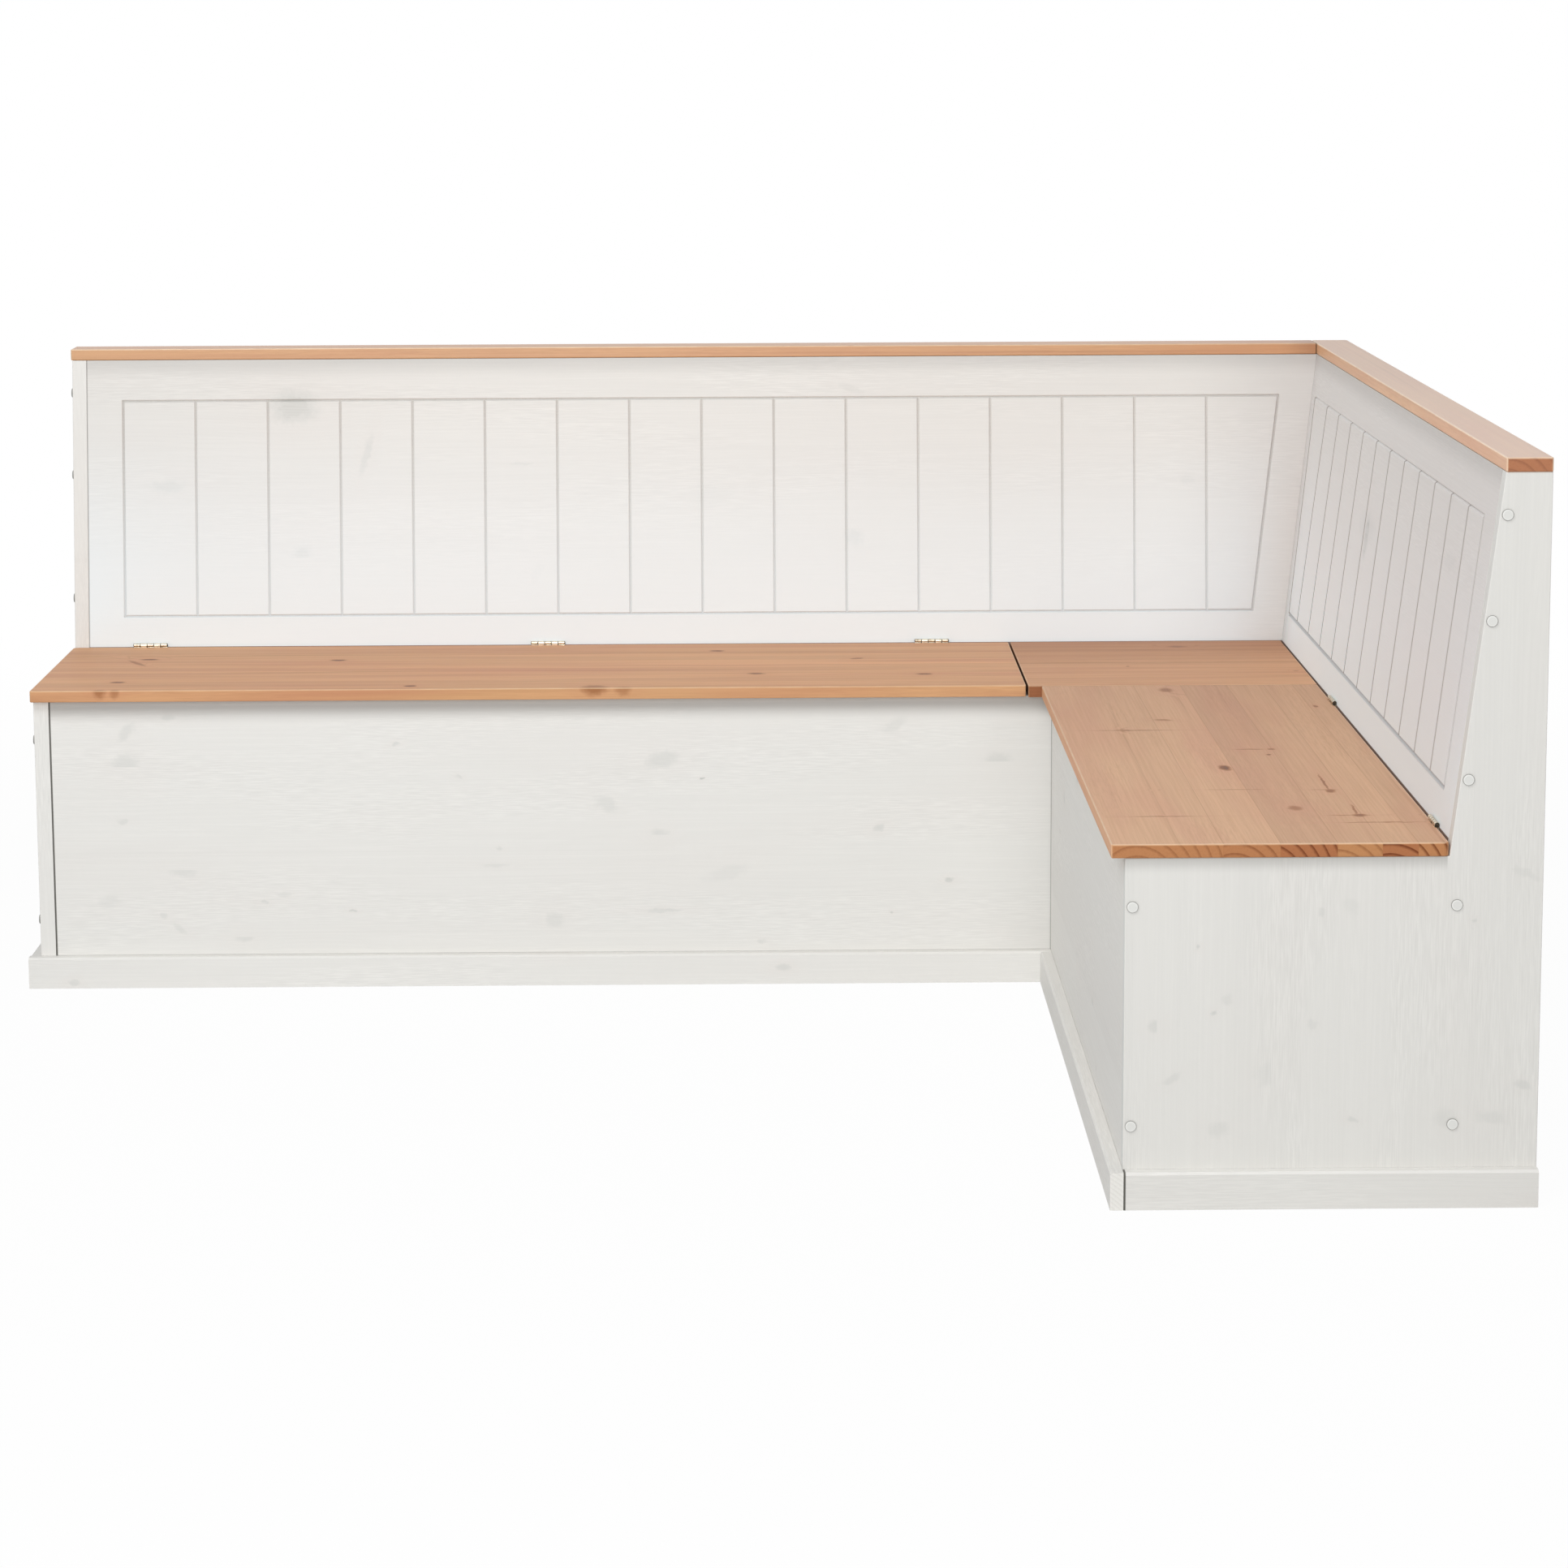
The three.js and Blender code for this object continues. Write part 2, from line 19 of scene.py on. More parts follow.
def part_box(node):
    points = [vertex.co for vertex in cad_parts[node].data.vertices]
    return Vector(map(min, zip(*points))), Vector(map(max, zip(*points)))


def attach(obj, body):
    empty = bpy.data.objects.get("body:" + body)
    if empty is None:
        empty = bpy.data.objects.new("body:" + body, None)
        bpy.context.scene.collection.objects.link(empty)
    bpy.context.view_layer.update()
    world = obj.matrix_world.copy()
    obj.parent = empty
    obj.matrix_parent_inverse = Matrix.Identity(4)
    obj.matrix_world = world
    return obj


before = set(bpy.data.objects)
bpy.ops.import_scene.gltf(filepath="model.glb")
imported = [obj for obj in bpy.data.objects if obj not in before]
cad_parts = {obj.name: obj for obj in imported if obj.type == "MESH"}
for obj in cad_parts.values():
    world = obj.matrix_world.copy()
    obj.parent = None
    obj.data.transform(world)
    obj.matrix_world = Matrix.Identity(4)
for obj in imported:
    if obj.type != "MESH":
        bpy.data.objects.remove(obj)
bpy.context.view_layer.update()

log = logging.getLogger("corner_bench")

AXES = "XYZ"
MILLIS = 1000
CENTIS = 100
UP = Vector((0.0, 0.0, 1.0))

Colour = Tuple[float, float, float, float]
Pair = Tuple[float, float]


def paint(red: float, green: float, blue: float) -> Colour:
    """Turns a colour as a screen shows it into the linear colour that a shader takes.

    Args:
        red: Red, 0 to 255.
        green: Green, 0 to 255.
        blue: Blue, 0 to 255.

    Returns:
        The linear colour, with full alpha.
    """

    def linear(level: float) -> float:
        """Linear value of one channel, by the curve of sRGB."""
        share = level / 255
        return share / 12.92 if share <= 0.04045 else ((share + 0.055) / 1.055) ** 2.4

    return (linear(red), linear(green), linear(blue), 1.0)


WHITE: Colour = (1.0, 1.0, 1.0, 1.0)
# Dark joint lines: the painted shadow of the narrow gaps between parts.
JOINT_SHADOW_COLOUR = paint(66, 64, 56)
# A pale colour mixed onto faces that look up: a painted sheen.
SHEEN_COLOUR = paint(252, 237, 225)
# Colours of painted shade: soft strips where light is kept off, and the dark gap between seat boards.
GLOOM_COLOUR = paint(150, 148, 144)
GAP_SHADE_COLOUR = paint(52, 18, 8)

# ---------------------------------- shader nodes


def operation(name: str, swapped: bool = False) -> Callable[..., "Shade"]:
    """Makes a method that adds a Math node for a value and those it is put together with.

    Args:
        name: The node's operation.
        swapped: Whether its inputs change places, as in a reflected form.

    Returns:
        The method.
    """

    def method(self: "Shade", *others: "Value") -> "Shade":
        """Adds the node."""
        values = (*others, self) if swapped else (self, *others)
        return self.maths(name, *values)

    return method


class Shade:
    """The value of a socket, with operators that add the Math nodes of an expression."""

    def __init__(self, recipe: "Recipe", socket: bpy.types.NodeSocket) -> None:
        """Keeps the socket and the recipe whose node tree it is in."""
        self.recipe = recipe
        self.socket = socket

    def maths(self, operation: str, *values: "Value") -> "Shade":
        """Adds a Math node.

        Args:
            operation: The node's operation.
            *values: Its inputs in order.

        Returns:
            The node's result.
        """
        return self.recipe.node("ShaderNodeMath", {"operation": operation}, dict(enumerate(values)))

    __add__ = __radd__ = operation("ADD")
    __sub__, __rsub__ = operation("SUBTRACT"), operation("SUBTRACT", swapped=True)
    __mul__ = __rmul__ = operation("MULTIPLY")
    __truediv__, __pow__ = operation("DIVIDE"), operation("POWER")
    __abs__, root, sine = operation("ABSOLUTE"), operation("SQRT"), operation("SINE")
    floor, part = operation("FLOOR"), operation("FRACT")
    most, least = operation("MAXIMUM"), operation("MINIMUM")

    def rise(self, low: "Value", high: "Value") -> "Shade":
        """A smooth step from 0 at one value to 1 at another.

        Args:
            low: Where the step starts.
            high: Where it ends.

        Returns:
            The step, from 0 to 1.
        """
        return self.recipe.node(
            "ShaderNodeMapRange",
            {"interpolation_type": "SMOOTHSTEP"},
            {0: self, 1: low, 2: high, 3: 0.0, 4: 1.0},
        )

    def fall(self, low: "Value", high: "Value") -> "Shade":
        """A smooth step from 1 at one value to 0 at another."""
        return 1.0 - self.rise(low, high)

    def within(self, low: float, high: float, soft: float = 0.001) -> "Shade":
        """1 between two values and 0 outside them, with soft ends."""
        return self.rise(low - soft, low) * self.fall(high, high + soft)


Value = Union[float, Tuple[float, ...], Shade]


class Recipe:
    """The node tree of a material or of the surroundings, filled one node at a time."""

    def __init__(self, owner: Union[bpy.types.Material, bpy.types.World]) -> None:
        """Starts with an empty tree."""
        owner.use_nodes = True
        self.owner = owner
        self.tree = owner.node_tree
        self.tree.nodes.clear()

    def node(
        self,
        kind: str,
        settings: Optional[Dict[str, object]] = None,
        inputs: Optional[Dict[Union[int, str], Value]] = None,
        output: Union[int, str] = 0,
    ) -> Shade:
        """Adds a node.

        Args:
            kind: The node's type.
            settings: Its properties, set before its sockets; stops are those of a ramp.
            inputs: Values or links of its inputs, by name or place.
            output: Name or place of the output that is returned.

        Returns:
            The output's value.
        """
        made = self.tree.nodes.new(kind)
        for key, value in (settings or {}).items():
            if key == "stops":
                self._set_stops(made.color_ramp, value)
            else:
                setattr(made, key, value)
        for key, value in (inputs or {}).items():
            if isinstance(value, Shade):
                self.tree.links.new(value.socket, made.inputs[key])
            else:
                made.inputs[key].default_value = value
        return Shade(self, made.outputs[output])

    @staticmethod
    def _set_stops(ramp: bpy.types.ColorRamp, stops: Sequence[Tuple[float, Colour]]) -> None:
        """Gives a ramp its stops.

        Args:
            ramp: The ramp.
            stops: Places from 0 to 1 with their colours.
        """
        while len(ramp.elements) < len(stops):
            ramp.elements.new(1.0)
        for element, (place, colour) in zip(ramp.elements, stops):
            element.position = place
            element.color = colour

    def mix(self, factor: Value, first: Value, second: Value, mode: str = "MIX") -> Shade:
        """Mixes two colours.

        Args:
            factor: How much of the second colour shows, 0 to 1.
            first: The colour at 0.
            second: The colour at 1.
            mode: How they are mixed.

        Returns:
            The mixed colour.
        """
        settings = {"data_type": "RGBA", "blend_type": mode, "clamp_factor": True}
        return self.node("ShaderNodeMix", settings, {0: factor, 6: first, 7: second}, 2)

    def vector(self, x: Value, y: Value, z: Value) -> Shade:
        """Joins three values into a vector."""
        return self.node("ShaderNodeCombineXYZ", None, {0: x, 1: y, 2: z})

    def vectors(self, operation: str, *values: Value, output: str = "Vector") -> Shade:
        """Adds a Vector Math node.

        Args:
            operation: The node's operation.
            *values: Its inputs in order.
            output: Which of its outputs is returned.

        Returns:
            The node's result.
        """
        return self.node("ShaderNodeVectorMath", {"operation": operation}, dict(enumerate(values)), output)

    def parts(self, vector: Shade) -> Tuple[Shade, Shade, Shade]:
        """The three values of a vector."""
        made = self.node("ShaderNodeSeparateXYZ", None, {0: vector}).socket.node
        return tuple(Shade(self, socket) for socket in made.outputs)

    def noise(self, vector: Shade, scale: float = 1.0, detail: float = 2.0, rough: float = 0.5) -> Shade:
        """Smooth noise about 0.

        Args:
            vector: Where it is read.
            scale: How fine it is.
            detail: How many finer layers it has.
            rough: How strong the finer layers are.

        Returns:
            The noise, from about -0.5 to 0.5.
        """
        inputs = {"Vector": vector, "Scale": scale, "Detail": detail, "Roughness": rough}
        return self.node("ShaderNodeTexNoise", {"noise_dimensions": "3D"}, inputs) - 0.5

    def chances(self, vector: Shade) -> Tuple[Shade, Shade, Shade]:
        """Three even random values, the same wherever the vector is the same."""
        colour = self.node("ShaderNodeTexWhiteNoise", {"noise_dimensions": "3D"}, {"Vector": vector}, "Color")
        return self.parts(colour)

    def place(self) -> Shade:
        """The place of a point, which is its place on the bench."""
        return self.node("ShaderNodeTexCoord", None, None, "Object")

    def facing(self) -> Shade:
        """The way that a point's face looks."""
        return self.node("ShaderNodeTexCoord", None, None, "Normal")

    def relief(self, height: Value, distance: float, strength: float) -> Shade:
        """A normal with relief.

        Args:
            height: Height of the relief, as a share of the distance.
            distance: What a height of 1 stands for.
            strength: How much of it shows.

        Returns:
            The normal.
        """
        inputs = {"Height": height, "Distance": distance, "Strength": strength}
        return self.node("ShaderNodeBump", None, inputs)

    def finish(self, shader: Dict[str, Value]) -> bpy.types.Material:
        """Ends the tree in a Principled shader with these inputs and returns the material."""
        self.show(self.node("ShaderNodeBsdfPrincipled", None, shader))
        return self.owner

    def show(self, surface: Shade, kind: str = "ShaderNodeOutputMaterial") -> None:
        """Links a shader to an output of this kind."""
        made = self.tree.nodes.new(kind)
        self.tree.links.new(surface.socket, made.inputs["Surface"])


# ---------------------------------- finishes


class Lay(Enum):
    """How a board lies: the axes along its grain, across its staves and through its thickness."""

    PANEL_X = ("X", "Z", "Y")
    PANEL_Y = ("Y", "Z", "X")
    SEAT_X = ("X", "Y", "Z")
    SEAT_Y = ("Y", "X", "Z")
    UPRIGHT_X = ("Z", "X", "Y")
    UPRIGHT_Y = ("Z", "Y", "X")


@dataclass(frozen=True)
class Knot:
    """A knot, crack or resin streak, placed by shares of its board's length and width.

    Where cut is 1 or -1, a joint hides its lower or its upper half.
    """

    along: float
    across: float
    length: float
    width: float
    tilt: float
    strength: float
    cut: int = 0
    on_edge: bool = False


Knots = Tuple[Knot, ...]


def knot_rows(*rows: Sequence[float]) -> Knots:
    """Makes knots from rows of numbers.

    Args:
        *rows: Each knot's place along and across its board in thousandths, length and width in
            millimetres, tilt in degrees and strength in hundredths, then cut and on_edge if it has them.

    Returns:
        The knots.
    """
    return tuple(
        Knot(*(size / MILLIS for size in row[:4]), row[4], row[5] / CENTIS, *row[6:]) for row in rows
    )


@dataclass(frozen=True)
class Seam:
    """A dark joint line along one side of a board, the painted shadow of a gap between parts.

    Core and rim are shares of its width.
    """

    axis: str
    at_high: bool
    width: float
    strength: float
    inset: float = 0.0
    core: float = 0.6
    rim: float = 1.1


Seams = Tuple[Seam, ...]


@dataclass(frozen=True)
class Gloom:
    """A soft darker strip along one side of a board, where an edge above keeps light off.

    full is how far in the strip is darkest, level is its dark edge where that isn't the board's own side,
    and within keeps the strip to where another axis is below a place.
    """

    axis: str
    at_high: bool
    reach: float
    strength: float
    full: float = 0.0
    level: Optional[float] = None
    within: Optional[Tuple[str, float]] = None
    colour: Colour = GLOOM_COLOUR
    bend: float = 1.2
    least_full: float = 0.0005
    end_soft: float = 0.002


Glooms = Tuple[Gloom, ...]


@dataclass(frozen=True)
class Grain:
    """The pattern that all the pine shares.

    Scales are along the grain and across it, spans are where a soft step starts and ends.
    """

    joint_span: Pair = (0.0003, 0.0009)
    stave_wave: Pair = (2.3, 0.15)
    knot_shift: Pair = (7.7, 3.3)
    knot_ragged: Pair = (90.0, 0.06)
    knot_chance: float = 0.1
    knot_core: Pair = (0.5, 1.3)
    knot_halo: Pair = (0.8, 4.0)
    knot_depth: Pair = (0.5, 0.4)
    chosen_wander: float = 70.0
    chosen_ragged: Pair = (150.0, 0.5)
    chosen_core: Pair = (0.4, 1.25)
    chosen_halo: Pair = (1.0, 3.6)
    cut_span: Pair = (-0.0006, 0.0004)
    edge_depth: float = 1.6
    whole_depth: float = 10.0
    ring_seed: Pair = (4.0, 3.0)
    sway_scale: float = 1.1
    bend_scale: float = 2.6
    pith_chance: float = 0.8
    pith_least: float = 0.03
    waver: Pair = (3.0, 20.0)
    waver_show: float = 0.003
    ring_bulge: float = 1.6
    ring_end: Pair = (0.9, 1.0)
    streak: Pair = (5.0, 300.0)
    streak_rough: float = 0.6
    dash: Pair = (34.0, 620.0)
    dash_patch: Pair = (2.6, 14.0)
    dash_span: Pair = (-0.08, 0.16)
    face_span: Pair = (0.6, 0.85)
    # Upper edges: wear with a painted highlight along them.
    arris_span: Pair = (0.0007, 0.0024)
    arris_wear_and_highlight: Pair = (35.0, 0.75)
    blotch: Pair = (2.2, 9.0)
    blotch_shift: float = 0.08
    blotch_gain: float = 2.0
    tone_seed: float = 9.0
    tone_gain: float = 2.0
    band: Pair = (1.3, 30.0)
    band_shift: float = 5.0
    patch_scale: float = 0.6
    ribbon: float = 1.9
    ribbon_shift: float = 3.0
    ribbon_warmth: float = 6.0
    late_least: float = 0.04
    fine_bright: float = 0.25
    halo_show: float = 0.25
    heart_span: Pair = (0.7, 1.0)
    heart_rings: Pair = (0.5, 0.3)
    end_seed: float = 17.0
    end_chance: Pair = (0.8, 0.2)
    end_streak: float = 0.5
    # A painted sheen on faces that look up, broken by the streaks.
    sheen_span: Pair = (0.8, 0.95)
    sheen_streak: float = 0.8
    heights: Tuple[float, ...] = (0.6, 0.5, 0.25, 0.3)
    roughs: Tuple[float, ...] = (0.12, 0.08, 0.4)
    relief_depth: float = 0.0004


GRAIN = Grain()


@dataclass(frozen=True)
class Pine:
    """A finish on pine, from its bare wood to what lies on it."""

    name: str
    early: Colour
    late: Colour
    warm: Colour
    knot: Colour
    knot_heart: Colour
    end: Colour
    end_late: Colour
    # Colour of the upper edges, where wear and a painted highlight lie.
    arris: Colour
    ring_show: float
    streak_show: float
    dash_show: float
    blotch_show: float
    tone_show: float
    knot_show: float
    end_show: float
    arris_show: float
    joint_show: float
    roughness: float
    relief_strength: float
    gloss: float = 0.5
    ring_step: float = 0.0046
    ring_start: float = 0.25
    stave: float = 0.068
    knot_run: float = 0.26
    knot_rise: float = 0.13
    knot_least: float = 0.002
    knot_most: float = 0.016
    knot_rarity: float = 0.45
    pith_aside: float = 0.1
    pith_below: float = 0.05
    sway: float = 0.04
    knot_warp: Tuple[float, float, float] = (0.016, 0.01, 0.0)
    end_ring_show: float = 0.8
    band_show: float = 0.01
    ribbon_show: float = 0.0
    tinted_knots: float = 1.0
    end_tone_show: float = 0.05
    ring_patch: Pair = (-0.25, 0.3)


GLAZED = Pine(
    name="glazed pine",
    early=paint(234, 233, 229), late=paint(208, 207, 203), warm=paint(230, 224, 219),
    knot=paint(211, 212, 208), knot_heart=paint(180, 181, 174),
    end=paint(226, 223, 217), end_late=paint(206, 202, 195), arris=paint(238, 236, 231),
    ring_show=0.07, streak_show=0.22, dash_show=0.7, blotch_show=0.3, tone_show=0.012, knot_show=0.85,
    end_show=0.6, arris_show=0.3, joint_show=0.05, roughness=0.5, relief_strength=0.2,
)

OILED = Pine(
    name="oiled pine",
    early=paint(222, 170, 127), late=paint(168, 112, 72), warm=paint(214, 149, 116),
    knot=paint(146, 82, 30), knot_heart=paint(94, 48, 18),
    end=paint(182, 125, 83), end_late=paint(124, 70, 40), arris=paint(240, 206, 170),
    ring_show=0.34, streak_show=0.55, dash_show=0.5, blotch_show=0.8, band_show=0.13, tone_show=0.06,
    knot_show=0.92, end_show=1.0, end_ring_show=1.0, end_tone_show=0.34, arris_show=0.9, joint_show=0.3,
    roughness=0.5, relief_strength=0.25, gloss=0.2, ribbon_show=0.16, tinted_knots=0.0,
    stave=0.064, ring_step=0.012, ring_start=0.55, ring_patch=(0.0, 0.16), knot_rarity=0.92,
    knot_most=0.009, knot_warp=(0.006, 0.004, 0.0), pith_aside=0.06, pith_below=0.03, sway=0.016,
)

# The rails' edges are paler still: wear with a painted highlight.
RAIL = replace(OILED, name="polished pine", arris=paint(250, 226, 196), gloss=0.8, roughness=0.4)

RAW = Pine(
    name="raw pine",
    early=paint(226, 198, 158), late=paint(192, 150, 106), warm=paint(216, 176, 134),
    knot=paint(150, 104, 72), knot_heart=paint(96, 62, 42),
    end=paint(204, 168, 124), end_late=paint(160, 116, 76), arris=paint(232, 208, 172),
    ring_show=0.5, streak_show=0.6, dash_show=0.4, blotch_show=0.4, tone_show=0.05, knot_show=0.9,
    end_show=0.8, arris_show=0.3, joint_show=0.25, roughness=0.68, relief_strength=0.3,
)


@dataclass
class Board:
    """The wood of one node: where it is in its staves, its rings, its knots and its finish.

    Some boards also carry painted light and shade: tints, a sheen, dark joint lines and darker strips.
    """

    node: str
    finish: Pine
    lay: Lay
    glued: bool = True
    seed: float = 0.0
    knots: Knots = ()
    joints: Sequence[float] = ()
    seams: Seams = ()
    glooms: Glooms = ()
    # Tints of the broad and side faces, which some boards use for painted light and shade, and a painted
    # sheen on faces that look up.
    tint: Colour = WHITE
    side_light_tint: Optional[Colour] = None
    top_sheen: float = 0.0
    ribbons: float = 120.0
    ribbon_more: float = 1.0
    recipe: Recipe = field(init=False)

    def __post_init__(self) -> None:
        """Starts the node's material and finds the board's own axes."""
        self.recipe = Recipe(bpy.data.materials.new(f"{self.finish.name} {self.node}"))
        self.low, self.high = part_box(self.node)
        self.place = self.recipe.place()
        self.axes = dict(zip(AXES, self.recipe.parts(self.place)))
        self.along, self.across, self.through = (self.axes[axis] for axis in self.lay.value)
        self.own = self.recipe.vector(self.along, self.across, self.through)

    def _span(self, which: int) -> Pair:
        """Lowest and highest place of the board along one of its own axes."""
        index = AXES.index(self.lay.value[which])
        return self.low[index], self.high[index]

    def _pattern(self, scales: Pair, shift: Optional[Value] = None, **more: float) -> Shade:
        """Noise that is stretched along the grain.

        Args:
            scales: How fine it is along the grain and across it.
            shift: How far it is moved across.
            **more: Scale, detail and roughness of the noise.

        Returns:
            The noise.
        """
        run, cross = scales
        across = self.across * cross
        if shift is not None:
            across = across + shift
        return self.recipe.noise(self.recipe.vector(self.along * run, across, self.through * cross), **more)

    def _staves(self) -> Tuple[Value, Shade, Value]:
        """Which stave a point is in, how far across it is from its middle, and how near a joint it is.

        Returns:
            The stave's number, the distance across and how much of a joint line shows.
        """
        low, high = self._span(1)
        near_joint, past_joint = GRAIN.joint_span
        if self.joints:
            places = [low + share * (high - low) for share in (0.0, *self.joints, 1.0)]
            middles = [(one + other) / 2 for one, other in zip(places, places[1:])]
            cell: Value = self.seed
            local = self.across - middles[0]
            line: Value = 0.0
            for joint, before, after in zip(places[1:], middles, middles[1:]):
                past = self.across - joint
                beyond = past.maths("GREATER_THAN", past, 0.0)
                cell = beyond + cell
                local = local - beyond * (after - before)
                line = abs(past).fall(near_joint, past_joint).most(line)
            return cell, local, line
        if not self.glued:
            return self.seed, self.across - (low + high) / 2, 0.0
        stave = self.finish.stave
        turns, swing = GRAIN.stave_wave
        run = (self.across - low) / stave
        uneven = run + (run * turns + self.seed).sine() * swing
        cell = uneven.floor()
        local = (uneven - cell - 0.5) * stave
        line = abs(local).rise(stave / 2 - past_joint, stave / 2 - near_joint)
        return cell + self.seed, local, line

    def _scattered_knots(self, cell: Value, local: Shade) -> Tuple[Shade, Shade]:
        """Knots that fall at random.

        Args:
            cell: Number of the stave.
            local: Distance across from the stave's middle.

        Returns:
            How much each point is in a knot, and how much it is near one.
        """
        finish, recipe = self.finish, self.recipe
        run_shift, rise_shift = GRAIN.knot_shift
        run = self.along / finish.knot_run + cell * run_shift
        where = recipe.vector(run, local / finish.knot_rise + cell * rise_shift, 0.0)
        settings = {"voronoi_dimensions": "2D"}
        cells = recipe.node("ShaderNodeTexVoronoi", settings, {"Vector": where, "Scale": 1.0}, "Distance")
        chance, size, _ = recipe.parts(Shade(recipe, cells.socket.node.outputs["Color"]))
        scale, ragged = GRAIN.knot_ragged
        distance = cells + recipe.noise(self.place, scale) * ragged
        least, most = finish.knot_least / finish.knot_rise, finish.knot_most / finish.knot_rise
        radius = size * size * (most - least) + least
        there = chance.rise(finish.knot_rarity, finish.knot_rarity + GRAIN.knot_chance)
        inside = distance.fall(*(radius * share for share in GRAIN.knot_core)) * there
        near = distance.fall(*(radius * share for share in GRAIN.knot_halo)) * there
        more, least = GRAIN.knot_depth
        return inside * (size * more + least), near

    def _chosen_knots(self) -> Tuple[Shade, Shade]:
        """Knots at listed places.

        Returns:
            How much each point is in a knot, and how much it is near one.
        """
        recipe = self.recipe
        (low_a, high_a), (low_b, high_b), (low_c, high_c) = (self._span(which) for which in range(3))
        inputs = {"Vector": self.place, "Scale": GRAIN.chosen_wander, "Detail": 2.0}
        wander = recipe.node("ShaderNodeTexNoise", None, inputs, "Color")
        centred = recipe.vectors("SUBTRACT", wander, (0.5, 0.5, 0.5))
        warped = recipe.vectors("MULTIPLY_ADD", centred, self.finish.knot_warp, self.own)
        scale, share = GRAIN.chosen_ragged
        ragged = recipe.noise(self.place, scale, detail=3.0) * share
        inside = near = None
        for knot in self.knots:
            centre = (low_a + knot.along * (high_a - low_a), low_b + knot.across * (high_b - low_b), high_c)
            depth = (high_c - low_c) * GRAIN.edge_depth if knot.on_edge else GRAIN.whole_depth
            inputs = {
                "Vector": warped,
                "Location": centre,
                "Rotation": (0.0, 0.0, math.radians(knot.tilt)),
                "Scale": (knot.length / 2, knot.width / 2, depth / 2),
            }
            fitted = recipe.node("ShaderNodeMapping", {"vector_type": "TEXTURE"}, inputs)
            distance = recipe.vectors("LENGTH", fitted, output="Value")
            core = (distance + ragged).fall(*GRAIN.chosen_core) * knot.strength
            if knot.cut:
                offset = (self.across - centre[1]) * float(knot.cut)
                core = core * offset.rise(*GRAIN.cut_span)
            ring = distance.fall(*GRAIN.chosen_halo) * min(knot.strength, 1.0)
            inside = core if inside is None else inside.most(core)
            near = ring if near is None else near.most(ring)
        return inside, near

    def _rings(self, cell: Value, local: Shade, near: Shade) -> Shade:
        """Rings about a heart beside each stave.

        Args:
            cell: Number of the stave.
            local: Distance across from the stave's middle.
            near: How much a point is near a knot.

        Returns:
            How much late wood shows.
        """
        finish, recipe = self.finish, self.recipe
        chance_seed, sway_seed = GRAIN.ring_seed
        one, two, _ = recipe.chances(recipe.vector(cell, self.seed, chance_seed))
        low, high = self._span(2)
        sway_place = recipe.vector(self.along * GRAIN.sway_scale, cell, sway_seed)
        sway = recipe.noise(sway_place) * finish.sway
        bend = recipe.noise(sway_place, GRAIN.bend_scale, detail=1.0) * finish.sway
        aside = local + (1.0 - one * GRAIN.pith_chance) * finish.pith_aside + bend
        below = self.through - (low + high) / 2 + two * finish.pith_below + GRAIN.pith_least + sway
        waver = self._pattern(GRAIN.waver) * GRAIN.waver_show
        distance = (aside * aside + below * below).root() + waver
        ring = (distance / finish.ring_step + near * GRAIN.ring_bulge).part()
        return ring.rise(finish.ring_start, GRAIN.ring_end[0]) * ring.fall(*GRAIN.ring_end)

    def _fibres(self) -> Tuple[Shade, Shade]:
        """The wood's fibres.

        Returns:
            Fine streaks along the grain, and short marks that show in patches.
        """
        streak = self._pattern(GRAIN.streak, detail=3.0, rough=GRAIN.streak_rough)
        patch = self._pattern(GRAIN.dash_patch, detail=1.0).rise(*GRAIN.dash_span)
        return streak, self._pattern(GRAIN.dash, detail=1.0) * patch

    def _looks(self, which: int) -> Shade:
        """Where a face looks along one of the board's own axes: 0 for its ends, 2 for its broad faces."""
        facing = dict(zip(AXES, self.recipe.parts(self.recipe.facing())))
        return abs(facing[self.lay.value[which]]).rise(*GRAIN.face_span)

    def _arrises(self) -> Shade:
        """The board's edges, which are paler from wear and a painted highlight.

        Returns:
            1 where a point lies close to one of its edges or corners, bar the edges of its underside.
        """
        first, second = (
            (self.axes[axis] - self.low[index]).least(self.high[index] - self.axes[axis])
            for index, axis in enumerate("XY")
        )
        third = self.high.z - self.axes["Z"]
        sum_of_two = first + second + third - first.most(second).most(third)
        return sum_of_two.fall(*GRAIN.arris_span)

    def _seams(self, colour: Shade) -> Shade:
        """Adds the dark joint lines along the board's sides, the painted shadow of the gaps.

        Args:
            colour: The colour so far.

        Returns:
            The colour with its lines.
        """
        for seam in self.seams:
            index = AXES.index(seam.axis)
            at = self.axes[seam.axis]
            depth = self.high[index] - seam.inset - at if seam.at_high else at - self.low[index] - seam.inset
            line = abs(depth).fall(seam.width * seam.core, seam.width * seam.rim)
            colour = self.recipe.mix(line * seam.strength, colour, JOINT_SHADOW_COLOUR)
        return colour

    def _glooms(self, colour: Shade) -> Shade:
        """Adds the painted shade: soft darker strips along the board's sides.

        Args:
            colour: The colour so far.

        Returns:
            The colour with its strips.
        """
        for gloom in self.glooms:
            index = AXES.index(gloom.axis)
            side = (self.high if gloom.at_high else self.low)[index] if gloom.level is None else gloom.level
            at = self.axes[gloom.axis]
            depth = (side - at) if gloom.at_high else (at - side)
            inner = depth.fall(gloom.full, gloom.reach) ** gloom.bend
            outer = depth.rise(-max(gloom.full, gloom.least_full), gloom.full)
            shade = inner * outer * gloom.strength
            if gloom.within is not None:
                axis, place = gloom.within
                shade = shade * self.axes[axis].fall(place - gloom.end_soft, place)
            colour = self.recipe.mix(shade, colour, gloom.colour)
        return colour

    def _painted_light(self, colour: Shade) -> Shade:
        """Adds the painted light and shade of a board's own place to a colour; a plain board has none."""
        return colour

